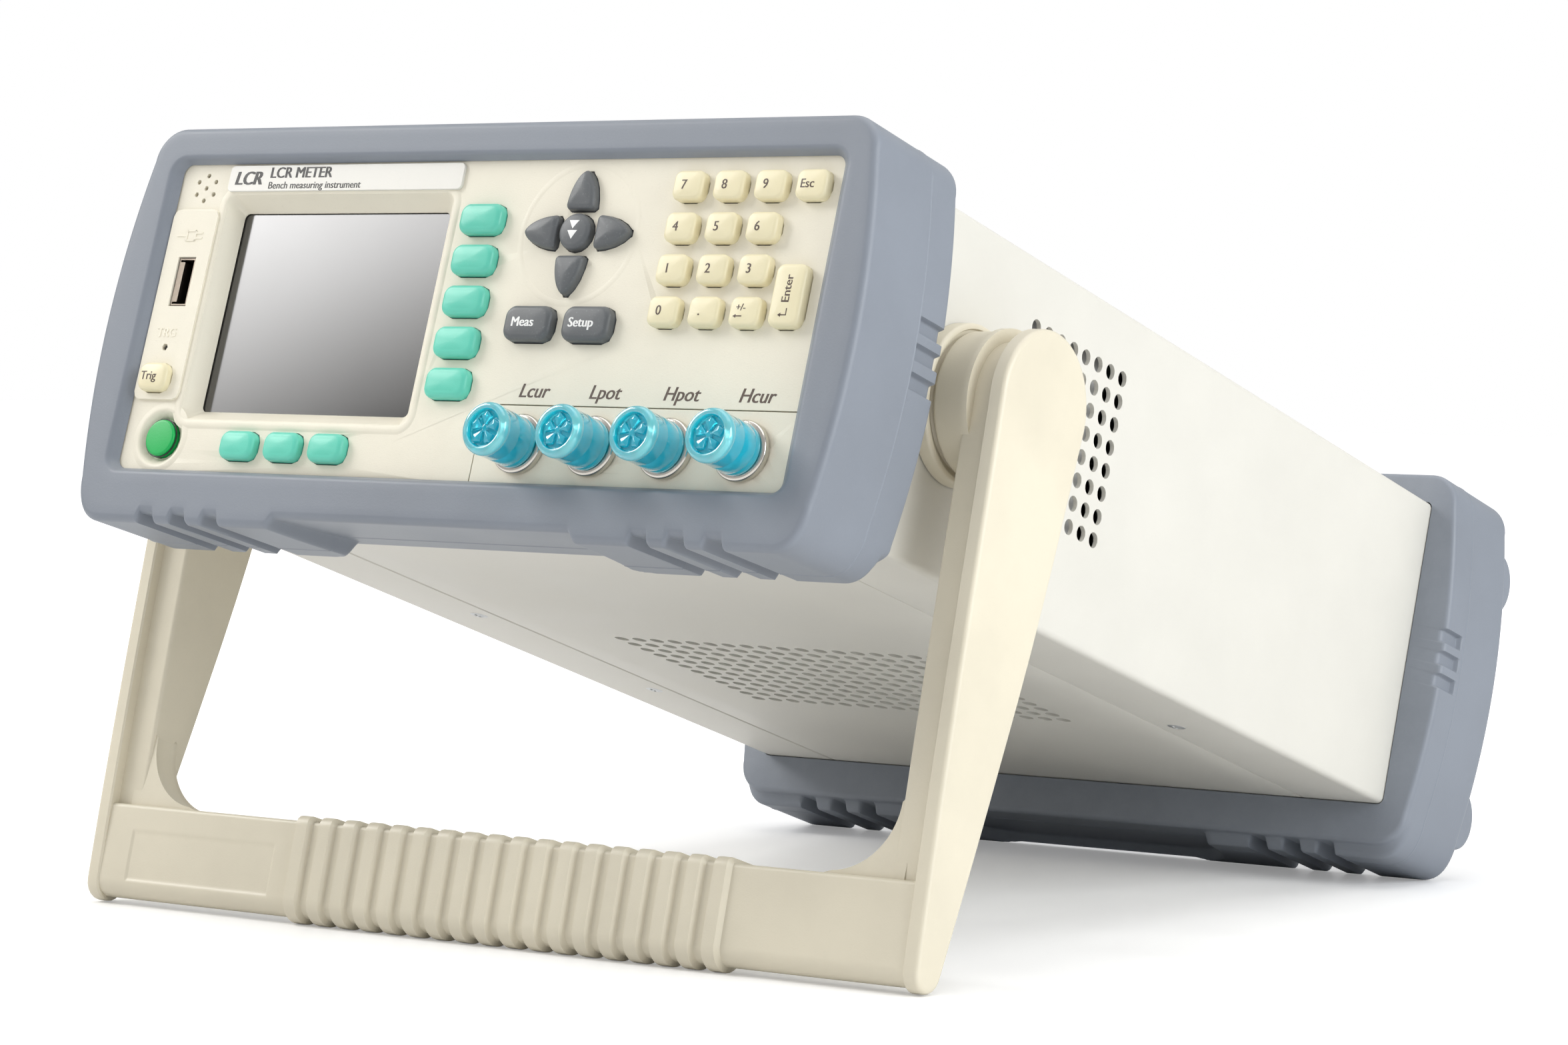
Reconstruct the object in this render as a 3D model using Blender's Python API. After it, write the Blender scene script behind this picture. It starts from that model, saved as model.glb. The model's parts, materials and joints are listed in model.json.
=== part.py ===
"""LCR meter: a half-rack bench instrument tilted back on its swing handle.

The meter is designed square to its own axes: X to the right, Y from the front panel to the rear,
Z up, with the zero at the middle of the front panel. One empty then tilts the whole meter so that it
stands on the bar of its handle and on the heel of its rear bumper, with the bench at Z = 0 and the
middle of its box over the origin.
"""

from math import asin, atan2, cos, hypot, pi, radians, sin

import bmesh
import bpy

GAP = 0.0003                    # clearance between pieces that touch

# Case
CASE_HALF_WIDTH = 0.1075
CASE_HALF_HEIGHT = 0.0440
CASE_CORNER = 0.0018
SHEET = 0.0012
COVER_FRONT = 0.0056
COVER_REAR = 0.3287
FLANGE_EDGE = 0.0818            # half the distance between the two flanges under the case
TRAY_LIP = 0.1055               # half-width of the tray's lips, which lie on the flanges

# Bumpers
BUMPER_FRONT = -0.0060
BUMPER_DEPTH = 0.0375
BUMPER_TOP = 0.0526
BUMPER_BOTTOM = -0.0555
BUMPER_HALF_WIDTH = 0.1192      # at the fullest point of the bowed side
BUMPER_BOW = 0.0042             # how far the side has drawn in at the top corner
BUMPER_WAIST = -0.0030          # height of the fullest point
BUMPER_CORNER = 0.0090
BUMPER_EDGE = 0.0030
REAR_BUMPER_FRONT = 0.3008
REAR_BUMPER_BACK = 0.3355
WINDOW_HALF_WIDTH = 0.1052      # opening of the front bumper at the panel
WINDOW_HALF_HEIGHT = 0.0411
LIP_SLOPE_X = 0.0025            # how far that opening widens towards the viewer
LIP_SLOPE_Z = 0.0012
FOOT_BOTTOM = -0.0590
FOOT_SHOULDER = 0.0018          # how far a pad spreads above its flat bottom
FOOT_HEEL = 0.0026              # from the rear bumper's back to the rear edge of its pads
GROOVE = 0.0040                 # width of the finger grooves on the sides
GROOVE_DEPTH = 0.0016
PAD_GROOVES = (0.0680, 0.0790, 0.0900)
PAD_GROOVE_WIDTH = 0.0060
REAR_FOOT_HEIGHTS = (0.0300, -0.0400)
REAR_FOOT_RADIUS = 0.0090

# Front panel
PANEL_THICKNESS = 0.0050
PANEL_HALF_WIDTH = 0.1068
PANEL_HALF_HEIGHT = 0.0426
TERMINAL_PLATE_LEFT = 0.0117
TERMINAL_PLATE_TOP = -0.0216
SIDE_PLATE = (-0.1050, -0.0895, -0.0226, 0.0288)    # left, right, bottom, top
SIDE_PLATE_RISE = 0.0008
DISPLAY_FRONT = (-0.0880, -0.0120, -0.0274, 0.0330)
DISPLAY_BACK = (-0.0856, -0.0160, -0.0243, 0.0296)
SPEAKER_X = -0.0966
SPEAKER_Z = 0.0348
USB_X = -0.09695
USB_Z = 0.00915
USB_WIDTH = 0.0055
USB_HEIGHT = 0.0127
LAMP_X = -0.0978
LAMP_Z = -0.0086

# Keys
KEY_TAIL = 0.0054               # a key's rear face, behind the panel
NUMBER_LEFT = 0.0619
NUMBER_BOTTOM = 0.0020
NUMBER_PITCH_X = 0.01205
NUMBER_PITCH_Z = 0.0105
NAV_X = 0.0298
NAV_Z = 0.0221
POWER_X = -0.0930
POWER_Z = -0.0326

# Terminals
TERMINAL_X = 0.0256
TERMINAL_Z = -0.0316
TERMINAL_PITCH = 0.0222
CAP_RADIUS = 0.00665
CAP_FRONT = -0.0153

# Rear fittings
INLET_X = -0.0740
INLET_Z = -0.0180
SERIAL_X = 0.0500
SERIAL_Z = -0.0180

# Handle
PIVOT_Y = 0.0595
PIVOT_Z = -0.0015
ARM_OUTER = 0.1330
ARM_PLATE = 0.0044
ARM_INNER = 0.1202
ARM_RADIUS = 0.0188
ARM_END_Y = -0.0049             # centre of the arm's rounded lower end, from the pivot
ARM_END_Z = -0.1382
ARM_END_RADIUS = 0.0053
BAR_TOP = -0.1180               # from the pivot
HUB_RADIUS = 0.0200
HUB_COLLAR = 0.0043             # how far the collar stands off the case
BOSS_RADIUS = 0.0180
SPIGOT_RADIUS = 0.0060

# The meter leans back until the arm ends and the rear heel touch the bench together.
HEEL_Y = REAR_BUMPER_BACK - FOOT_HEEL
LEAN_Y = HEEL_Y - PIVOT_Y - ARM_END_Y
LEAN_Z = FOOT_BOTTOM - PIVOT_Z - ARM_END_Z
TILT = atan2(LEAN_Z, LEAN_Y) + asin(ARM_END_RADIUS / hypot(LEAN_Y, LEAN_Z))
STAND_HEIGHT = HEEL_Y * sin(TILT) - FOOT_BOTTOM * cos(TILT)
CAP_REACH = CAP_FRONT * cos(TILT) + (TERMINAL_Z - CAP_RADIUS) * sin(TILT)
FOOT_REACH = REAR_BUMPER_BACK * cos(TILT) + REAR_FOOT_HEIGHTS[0] * sin(TILT) + REAR_FOOT_RADIUS
CENTRE_Y = (CAP_REACH + FOOT_REACH) / 2

BUMPER_GREY = (0.28, 0.33, 0.40)
PANEL_IVORY = (0.80, 0.76, 0.66)
CASE_IVORY = (0.86, 0.85, 0.80)
HANDLE_CREAM = (0.78, 0.74, 0.60)
KEY_CREAM = (0.86, 0.80, 0.58)
KEY_TURQUOISE = (0.18, 0.72, 0.55)
KEY_GREY = (0.16, 0.18, 0.20)
POWER_GREEN = (0.00, 0.48, 0.12)
CAP_BLUE = (0.00, 0.48, 0.65)


# ---------------------------------------------------------------- outlines: lists of (across, up)

def arc(across, up, radius, start, end, steps):
    """Points along a circle, from one angle to another in degrees."""
    turns = [radians(start + (end - start) * step / steps) for step in range(steps + 1)]
    return [(across + radius * cos(turn), up + radius * sin(turn)) for turn in turns]


def rectangle(left, right, bottom, top, radius=0.0, steps=2):
    """A rectangle, with its corners rounded where a radius is given."""
    if radius <= 0.0:
        return [(right, bottom), (right, top), (left, top), (left, bottom)]
    return (arc(right - radius, bottom + radius, radius, -90, 0, steps)
            + arc(right - radius, top - radius, radius, 0, 90, steps)
            + arc(left + radius, top - radius, radius, 90, 180, steps)
            + arc(left + radius, bottom + radius, radius, 180, 270, steps))


def pad_outline(width, height, radius, grow):
    """A key's rounded rectangle about its own centre, grown on every side."""
    half_width = width / 2 + grow
    half_height = height / 2 + grow
    return rectangle(-half_width, half_width, -half_height, half_height, radius + grow, 2)


def round_outline(radius, grow, steps=12):
    """A circle about its own centre."""
    return arc(0, 0, radius + grow, 0, 360 * (steps - 1) / steps, steps - 1)


def bullet_outline(length, width, quarter_turns, grow):
    """A flat base and two flanks that curve in to a blunt nose, which points right before it is turned."""
    long = length + 2 * grow
    half = width / 2 + grow
    sweep = [radians(90 * step / 5) for step in range(5)]
    flank = [(long * (sin(a) - 0.5), half * cos(a) ** 1.25) for a in sweep]
    nose = [(long / 2, 0.0008), (long / 2, -0.0008)]
    base = [(-long / 2, half - 0.0010), (-long / 2 + 0.0008, half)]
    upper = base + flank[1:] + nose[:1]
    points = upper + [(across, -up) for across, up in reversed(upper)]
    turn = quarter_turns * pi / 2
    return [(a * cos(turn) - u * sin(turn), a * sin(turn) + u * cos(turn)) for a, u in reversed(points)]


def bumper_outline(inset):
    """The outer outline of a bumper: flat top and bottom, bowed sides, round corners. 32 points."""
    top = BUMPER_TOP - inset
    bottom = BUMPER_BOTTOM + inset
    corner = BUMPER_CORNER - inset

    def side(height):
        share = (height - BUMPER_WAIST) / (BUMPER_TOP - BUMPER_CORNER - BUMPER_WAIST)
        return BUMPER_HALF_WIDTH - inset - BUMPER_BOW * share * share

    heights = [bottom + corner + (top - bottom - 2 * corner) * step / 5 for step in range(6)]
    right = arc(side(heights[0]) - corner, bottom + corner, corner, -90, 0, 5)
    right += [(side(height), height) for height in heights[1:5]]
    right += arc(side(heights[5]) - corner, top - corner, corner, 0, 90, 5)
    return right + [(-across, up) for across, up in reversed(right)]


def opening_outline(half_width, half_height, radius):
    """A rounded rectangle with its points shared out as in bumper_outline. 32 points."""
    heights = [radius - half_height + (half_height - radius) * 2 * step / 5 for step in range(6)]
    right = arc(half_width - radius, radius - half_height, radius, -90, 0, 5)
    right += [(half_width, height) for height in heights[1:5]]
    right += arc(half_width - radius, half_height - radius, radius, 0, 90, 5)
    return right + [(-across, up) for across, up in reversed(right)]


# ---------------------------------------------------------------- solids

def loft(bm, rings, closed=False):
    """Join equal rings of points side to side, and cap the ends or close the chain on itself."""
    loops = [[bm.verts.new(point) for point in ring] for ring in rings]
    pairs = list(zip(loops, loops[1:]))
    if closed:
        pairs.append((loops[-1], loops[0]))
    for first, second in pairs:
        for index in range(len(first)):
            after = (index + 1) % len(first)
            bm.faces.new((first[index], first[after], second[after], second[index]))
    if not closed:
        bm.faces.new(loops[0])
        bm.faces.new(loops[-1])


def along_y(outline, depth):
    """An outline of (x, z) points at one depth."""
    return [(across, depth, up) for across, up in outline]


def along_x(outline, across):
    """An outline of (y, z) points at one place across."""
    return [(across, depth, up) for depth, up in outline]


def weld_poles(bm):
    """Merge the points that a turned solid has on its axis, and drop the faces that vanish there."""
    bmesh.ops.remove_doubles(bm, verts=bm.verts, dist=0.000001)
    vanished = [face for face in bm.faces if face.calc_area() < 1e-14]
    bmesh.ops.delete(bm, geom=vanished, context='FACES_ONLY')


def box(bm, low, high):
    """A plain box between two corners."""
    outline = [(high[0], low[2]), (high[0], high[2]), (low[0], high[2]), (low[0], low[2])]
    loft(bm, [along_y(outline, low[1]), along_y(outline, high[1])])


# ---------------------------------------------------------------- objects

def material(name, colour, roughness, metallic=0.0, alpha=1.0):
    """A plain Principled material."""
    made = bpy.data.materials.get(name) or bpy.data.materials.new(name)
    made.use_nodes = True
    shader = made.node_tree.nodes["Principled BSDF"]
    shader.inputs["Base Color"].default_value = (*colour, 1.0)
    shader.inputs["Roughness"].default_value = roughness
    shader.inputs["Metallic"].default_value = metallic
    shader.inputs["Alpha"].default_value = alpha
    return made


def place(name, bm, parent, finish=None, location=(0, 0, 0), smooth=0.0):
    """Turn a finished bmesh into a named object under its parent."""
    bmesh.ops.recalc_face_normals(bm, faces=bm.faces)
    mesh = bpy.data.meshes.new(name)
    bm.to_mesh(mesh)
    bm.free()
    if smooth:
        mesh.shade_smooth()
        mesh.set_sharp_from_angle(angle=radians(smooth))
    piece = bpy.data.objects.new(name, mesh)
    bpy.context.scene.collection.objects.link(piece)
    piece.parent = parent
    piece.location = location
    if finish:
        mesh.materials.append(finish)
    return piece


def guide(name, bm, parent, location=(0, 0, 0)):
    """A shape that only cuts or adds to another one."""
    piece = place(name, bm, parent, location=location)
    piece.hide_render = True
    piece.display_type = 'WIRE'
    return piece


def combine(piece, tool, operation):
    """Add an exact Boolean modifier."""
    step = piece.modifiers.new(tool.name, 'BOOLEAN')
    step.operation = operation
    step.solver = 'EXACT'
    step.object = tool


def clear_scene():
    """Empty the scene of the objects that it starts with."""
    for thing in list(bpy.data.objects):
        bpy.data.objects.remove(thing, do_unlink=True)


def empty(name, parent=None, location=(0, 0, 0)):
    """A bare reference frame."""
    frame = bpy.data.objects.new(name, None)
    bpy.context.scene.collection.objects.link(frame)
    frame.parent = parent
    frame.location = location
    return frame


# ---------------------------------------------------------------- bumpers

def foot_pads(name, parent, front, back):
    """Two raised pads under a bumper, whose inner edges curve away towards the rear, as one guide."""

    def plan(side, grow, height):
        low, high = front - grow, back + grow
        turns = [radians(90 * step / 4) for step in range(5)]
        curve = [(0.0300 - grow + 0.0190 * cos(turn), low + (high - low) * sin(turn)) for turn in turns]
        outline = [(0.1080 + grow, high), (0.1080 + grow, low)] + curve
        return [(side * x, y, height) for x, y in outline]

    bm = bmesh.new()
    for side in (1, -1):
        loft(bm, [plan(side, 0.0, FOOT_BOTTOM),
                  plan(side, FOOT_SHOULDER, FOOT_BOTTOM + 0.0020),
                  plan(side, FOOT_SHOULDER, BUMPER_BOTTOM + 0.0030)])
    return guide(name, bm, parent)


def bumper_grooves(name, parent, side_heights, side_span, pad_span):
    """Finger grooves on both sides and drain grooves across both pads, as one guide."""
    bm = bmesh.new()
    for side in (1, -1):
        for height in side_heights:
            low = BUMPER_HALF_WIDTH - GROOVE_DEPTH
            left, right = sorted((side * low, side * (low + 0.01)))
            box(bm, (left, side_span[0], height - GROOVE / 2),
                (right, side_span[1], height + GROOVE / 2))
        for across in PAD_GROOVES:
            left = side * across - PAD_GROOVE_WIDTH / 2
            right = side * across + PAD_GROOVE_WIDTH / 2
            box(bm, (left, pad_span[0], FOOT_BOTTOM - 0.01),
                (right, pad_span[1], BUMPER_BOTTOM + 0.0002))
    return guide(name, bm, parent)


def front_bumper(parent, finish):
    """The ring round the front: bowed outside, a lip round the panel, a pocket for the case behind it."""
    cavity = opening_outline(CASE_HALF_WIDTH + GAP, CASE_HALF_HEIGHT + GAP, 0.0020)
    throat = opening_outline(WINDOW_HALF_WIDTH, WINDOW_HALF_HEIGHT, 0.0025)
    mouth = opening_outline(WINDOW_HALF_WIDTH + LIP_SLOPE_X, WINDOW_HALF_HEIGHT + LIP_SLOPE_Z, 0.0035)
    back = BUMPER_FRONT + BUMPER_DEPTH
    bm = bmesh.new()
    loft(bm, [along_y(bumper_outline(BUMPER_EDGE), BUMPER_FRONT),
              along_y(bumper_outline(BUMPER_EDGE * 0.3), BUMPER_FRONT + BUMPER_EDGE * 0.3),
              along_y(bumper_outline(0), BUMPER_FRONT + BUMPER_EDGE),
              along_y(bumper_outline(0), back - 0.0015),
              along_y(bumper_outline(0.0015), back),
              along_y(cavity, back),
              along_y(cavity, -GAP),
              along_y(throat, -GAP),
              along_y(mouth, BUMPER_FRONT)], closed=True)
    ring = place("front_bumper", bm, parent, finish, smooth=35)
    combine(ring, foot_pads("front_pads", parent, BUMPER_FRONT + 0.0020, back - 0.0026), 'UNION')
    grooves = bumper_grooves("front_grooves", parent, (0.0115, 0.0044, -0.0030),
                             (0.0200, back + 0.01), (BUMPER_FRONT - 0.01, back + 0.01))
    combine(ring, grooves, 'DIFFERENCE')
    return ring


def rear_bumper(parent, finish):
    """The ring round the rear, with pads below and four half-round feet to stand the meter on its back."""
    front = REAR_BUMPER_FRONT
    back = REAR_BUMPER_BACK
    cavity = opening_outline(CASE_HALF_WIDTH + GAP, CASE_HALF_HEIGHT + GAP, 0.0020)
    throat = opening_outline(0.1040, 0.0400, 0.0030)
    bm = bmesh.new()
    loft(bm, [along_y(bumper_outline(0.0015), front),
              along_y(bumper_outline(0), front + 0.0015),
              along_y(bumper_outline(0), back - BUMPER_EDGE),
              along_y(bumper_outline(BUMPER_EDGE * 0.3), back - BUMPER_EDGE * 0.3),
              along_y(bumper_outline(BUMPER_EDGE), back),
              along_y(throat, back),
              along_y(throat, COVER_REAR + 0.0029),
              along_y(cavity, COVER_REAR + 0.0029),
              along_y(cavity, front)], closed=True)
    ring = place("rear_bumper", bm, parent, finish, smooth=35)
    combine(ring, foot_pads("rear_pads", parent, front + 0.0026, HEEL_Y), 'UNION')
    bm = bmesh.new()
    for side in (1, -1):
        for height in REAR_FOOT_HEIGHTS:
            outline = arc(back, height, REAR_FOOT_RADIUS, -90, 90, 8)
            inside = back - 0.0040
            outline = [(inside, height - REAR_FOOT_RADIUS)] + outline + [(inside, height + REAR_FOOT_RADIUS)]
            loft(bm, [along_x(outline, side * 0.1060), along_x(outline, side * 0.1140)])
    combine(ring, guide("rear_feet", bm, parent), 'UNION')
    grooves = bumper_grooves("rear_grooves", parent, (0.0055, -0.0010, -0.0075),
                             (front - 0.01, front + 0.0100), (front - 0.01, back + 0.02))
    combine(ring, grooves, 'DIFFERENCE')
    return ring


# ---------------------------------------------------------------- case

def top_cover(parent, finish):
    """Folded sheet: top, sides and a narrow flange under each side."""
    outer = CASE_HALF_WIDTH
    height = CASE_HALF_HEIGHT
    inner = outer - SHEET
    low = SHEET - height
    right = [(FLANGE_EDGE, -height)]
    right += arc(outer - CASE_CORNER, CASE_CORNER - height, CASE_CORNER, -90, 0, 3)
    right += arc(outer - CASE_CORNER, height - CASE_CORNER, CASE_CORNER, 0, 90, 3)
    hollow = [(inner, height - SHEET), (inner, low), (FLANGE_EDGE, low)]
    outline = right + [(-x, z) for x, z in reversed(right)]
    outline += [(-x, z) for x, z in reversed(hollow)] + hollow
    bm = bmesh.new()
    loft(bm, [along_y(outline, COVER_FRONT), along_y(outline, COVER_REAR)])
    return place("top_cover", bm, parent, finish, smooth=40)


def bottom_cover(parent, finish):
    """Folded tray between the flanges, with a joggled lip lying on each of them."""
    low = -CASE_HALF_HEIGHT
    edge = FLANGE_EDGE - GAP
    lip = low + SHEET + GAP
    right = [(edge, low), (edge, lip), (TRAY_LIP, lip), (TRAY_LIP, lip + SHEET),
             (edge - SHEET, lip + SHEET), (edge - SHEET, low + SHEET)]
    outline = right + [(-x, z) for x, z in reversed(right)]
    bm = bmesh.new()
    loft(bm, [along_y(outline, COVER_FRONT), along_y(outline, COVER_REAR)])
    return place("bottom_cover", bm, parent, finish)


def rear_panel(parent, finish):
    """Sheet plate inside the rear bumper, open for the mains inlet and the interface connector."""
    front = COVER_REAR + GAP
    bm = bmesh.new()
    outline = rectangle(-0.1068, 0.1068, -0.0426, 0.0426, 0.0020, 2)
    loft(bm, [along_y(outline, front), along_y(outline, front + 0.0020)])
    plate = place("rear_panel", bm, parent, finish)
    bm = bmesh.new()
    openings = ((INLET_X, INLET_Z, 0.0143, 0.0103), (SERIAL_X, SERIAL_Z, 0.0103, 0.0058))
    for x, z, half_width, half_height in openings:
        box(bm, (x - half_width, front - 0.01, z - half_height),
            (x + half_width, front + 0.01, z + half_height))
    combine(plate, guide("rear_openings", bm, parent), 'DIFFERENCE')
    return plate


# ---------------------------------------------------------------- front panel

def front_panel(parent, finish, keys):
    """Moulded panel with a raised plate on the left, open for everything that comes through it."""
    left, right = -PANEL_HALF_WIDTH, PANEL_HALF_WIDTH
    bottom, top = -PANEL_HALF_HEIGHT, PANEL_HALF_HEIGHT
    notch_x = TERMINAL_PLATE_LEFT - GAP
    notch_z = TERMINAL_PLATE_TOP + GAP
    outline = [(left, bottom), (notch_x, bottom), (notch_x, notch_z), (right, notch_z),
               (right, top), (left, top)]
    bm = bmesh.new()
    loft(bm, [along_y(outline, 0.0), along_y(outline, PANEL_THICKNESS)])
    panel = place("front_panel", bm, parent, finish)

    bm = bmesh.new()
    plate = rectangle(*SIDE_PLATE, 0.0020)
    loft(bm, [along_y(plate, -SIDE_PLATE_RISE), along_y(plate, 0.0010)])
    combine(panel, guide("side_plate", bm, parent), 'UNION')

    bm = bmesh.new()
    recess = [along_y(rectangle(*DISPLAY_FRONT, 0.0015), -0.0001),
              along_y(rectangle(*DISPLAY_BACK, 0.0010), PANEL_THICKNESS + 0.0001)]
    loft(bm, recess)
    for x, z, outline_of in keys:
        hole = [(x + across, z + up) for across, up in outline_of(GAP)]
        loft(bm, [along_y(hole, -0.01), along_y(hole, 0.01)])
    slot = rectangle(USB_X - USB_WIDTH / 2 - GAP, USB_X + USB_WIDTH / 2 + GAP,
                     USB_Z - USB_HEIGHT / 2 - GAP, USB_Z + USB_HEIGHT / 2 + GAP)
    loft(bm, [along_y(slot, -0.01), along_y(slot, 0.01)])
    holes = [(SPEAKER_X, SPEAKER_Z, 0.0007), (LAMP_X, LAMP_Z, 0.0010)]
    holes += [(SPEAKER_X + x, SPEAKER_Z + z, 0.0007) for x, z in arc(0, 0, 0.0034, 30, 330, 5)]
    for x, z, radius in holes:
        hole = [(x + across, z + up) for across, up in round_outline(radius, 0, 6)]
        loft(bm, [along_y(hole, -0.01), along_y(hole, 0.01)])
    combine(panel, guide("panel_openings", bm, parent), 'DIFFERENCE')

    bm = bmesh.new()
    loft(bm, [[(POWER_X + x, y, POWER_Z + z) for x, z in round_outline(radius, 0, 16)]
              for radius, y in ((0.0074, -0.0001), (0.0054, 0.0018))])
    combine(panel, guide("power_dish", bm, parent), 'DIFFERENCE')
    return panel


def terminal_plate(parent, finish):
    """Separate plate in the lower right corner, bored for the four sockets."""
    outline = [(TERMINAL_PLATE_LEFT, -PANEL_HALF_HEIGHT), (PANEL_HALF_WIDTH, -PANEL_HALF_HEIGHT),
               (PANEL_HALF_WIDTH, TERMINAL_PLATE_TOP), (TERMINAL_PLATE_LEFT, TERMINAL_PLATE_TOP)]
    bm = bmesh.new()
    loft(bm, [along_y(outline, 0.0), along_y(outline, PANEL_THICKNESS)])
    plate = place("terminal_plate", bm, parent, finish)
    bm = bmesh.new()
    for index in range(4):
        x = TERMINAL_X + TERMINAL_PITCH * index
        hole = [(x + across, TERMINAL_Z + up) for across, up in round_outline(0.0060 + GAP, 0, 16)]
        loft(bm, [along_y(hole, -0.01), along_y(hole, 0.01)])
    combine(plate, guide("terminal_bores", bm, parent), 'DIFFERENCE')
    return plate


def name_plate(parent, finish):
    """Thin label strip with round corners, stuck on above the display."""
    outline = rectangle(-0.0885, -0.0100, 0.0336, 0.0406, 0.0012)
    bm = bmesh.new()
    loft(bm, [along_y(outline, -0.0008), along_y(outline, -GAP)])
    return place("name_plate", bm, parent, finish)


def display(parent, glass, black):
    """The clear window and the display module behind it."""
    bm = bmesh.new()
    outline = rectangle(-0.0878, -0.0138, -0.0265, 0.0318)
    front = PANEL_THICKNESS + GAP
    loft(bm, [along_y(outline, front), along_y(outline, front + 0.0012)])
    place("lcd_lens", bm, parent, glass)
    bm = bmesh.new()
    box(bm, (-0.0893, 0.0069, -0.0280), (-0.0110, 0.0130, 0.0340))
    place("lcd_module", bm, parent, black)


# ---------------------------------------------------------------- keys

def key(name, parent, finish, x, z, outline_of, rise):
    """A rubber key: straight through the panel, then a shoulder that draws in to a flatter top."""
    bm = bmesh.new()
    loft(bm, [along_y(outline_of(0), KEY_TAIL),
              along_y(outline_of(0), -rise * 0.55),
              along_y(outline_of(-0.0003), -rise * 0.85),
              along_y(outline_of(-0.0010), -rise)])
    return place(name, bm, parent, finish, location=(x, 0, z), smooth=50)


def pad(width, height, radius):
    """The outline function of a rounded rectangular key."""
    return lambda grow: pad_outline(width, height, radius, grow)


def key_layout():
    """Every key: name, finish, centre across and up, outline function and rise above the panel."""
    soft = pad(0.0130, 0.0078, 0.0026)
    low_soft = pad(0.0113, 0.0074, 0.0024)
    number = pad(0.0088, 0.0074, 0.0026)
    word = pad(0.0143, 0.0088, 0.0028)
    rows = []
    for index in range(5):
        rows.append((f"softkey_right_{index + 1}", "turquoise",
                     -0.0005, 0.0255 - 0.01058 * index, soft, 0.0030))
    for index in range(3):
        rows.append((f"softkey_bottom_{index + 1}", "turquoise",
                     -0.0645 + 0.0148 * index, -0.0343, low_soft, 0.0030))
    arrows = (("nav_right", 0, 0.0113, 0.0), ("nav_up", 1, 0.0, 0.0107),
              ("nav_left", 2, -0.0107, 0.0), ("nav_down", 3, 0.0, -0.0110))
    for name, turns, across, up in arrows:
        bullet = (lambda grow, turns=turns: bullet_outline(0.0100, 0.0086, turns, grow))
        rows.append((name, "grey", NAV_X + across, NAV_Z + up, bullet, 0.0028))
    centre = (lambda grow: round_outline(0.0047, grow, 16))
    rows.append(("nav_centre", "grey", NAV_X, NAV_Z, centre, 0.0028))
    rows.append(("key_meas", "grey", 0.0213, -0.0013, word, 0.0030))
    rows.append(("key_setup", "grey", 0.0393, -0.0013, word, 0.0030))
    numbers = (("0", "point", "sign"), ("1", "2", "3"), ("4", "5", "6"), ("7", "8", "9", "esc"))
    for row, labels in enumerate(numbers):
        for column, label in enumerate(labels):
            rows.append((f"key_{label}", "cream", NUMBER_LEFT + NUMBER_PITCH_X * column,
                         NUMBER_BOTTOM + NUMBER_PITCH_Z * row, number, 0.0030))
    rows.append(("key_enter", "cream", 0.0974, 0.0061, pad(0.0088, 0.0154, 0.0026), 0.0030))
    rows.append(("key_trig", "cream", -0.0980, -0.0170, pad(0.0095, 0.0074, 0.0026), 0.0033))
    button = (lambda grow: round_outline(0.0048, grow, 16))
    rows.append(("power_button", "green", POWER_X, POWER_Z, button, 0.0014))
    return rows


# ---------------------------------------------------------------- terminals

def terminals(parent, metal, blue):
    """Four coaxial sockets, each under a cap that pulls straight off along its own axis."""
    socket = ((0.0000, 0.0140), (0.0050, 0.0140), (0.0060, 0.0130), (0.0060, -GAP),
              (0.0075, -GAP), (0.0075, -0.0018), (0.0070, -0.0023), (0.0048, -0.0023),
              (0.0048, -0.0135), (0.0041, -0.0135), (0.0041, -0.0040), (0.0012, -0.0040),
              (0.0012, -0.0110), (0.0000, -0.0110))
    cap = ((0.0000, CAP_FRONT), (CAP_RADIUS - 0.0008, CAP_FRONT),
           (CAP_RADIUS, CAP_FRONT + 0.0008), (CAP_RADIUS, -0.0026), (0.0051, -0.0026),
           (0.0051, -0.0138), (0.0000, -0.0138))
    for index in range(4):
        x = TERMINAL_X + TERMINAL_PITCH * index
        turned(f"bnc_socket_{index + 1}", parent, metal, socket, (x, 0, TERMINAL_Z), 16)
        turned(f"terminal_cap_{index + 1}", parent, blue, cap, (x, 0, TERMINAL_Z), 20)


def turned(name, parent, finish, profile, location, steps):
    """A piece turned about Y, from (radius, y) points; a zero radius is the axis itself."""
    turns = [2 * pi * k / steps for k in range(steps)]
    rings = [[(radius * cos(turn), depth, radius * sin(turn)) for turn in turns]
             for radius, depth in profile]
    bm = bmesh.new()
    loft(bm, rings)
    weld_poles(bm)
    return place(name, bm, parent, finish, location=location, smooth=40)


# ---------------------------------------------------------------- handle

def arm_outline(inset):
    """An arm seen from the side, about the pivot: a round head that tapers down to a round end."""
    head = arc(0, 0, ARM_RADIUS - inset, 190, -10, 12)
    back = [(0.0146 - inset, -0.0510), (0.0070 - inset, -0.1000)]
    end = arc(ARM_END_Y, ARM_END_Z, ARM_END_RADIUS - inset * 0.3, -5, -175, 6)
    front = [(-0.0126 + inset, -0.1080), (-0.0150 + inset, -0.0700)]
    return head + back + end + front


def bar_outline():
    """The bar in section: nearly flat face, rounded underneath, about the pivot."""
    low = ARM_END_Z - ARM_END_RADIUS + 0.0012
    return ([(-0.0108, BAR_TOP), (-0.0101, -0.1330)] + arc(ARM_END_Y, low + 0.0050, 0.0050, 195, 345, 5)
            + [(0.0010, -0.1300), (0.0024, BAR_TOP)])


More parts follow.
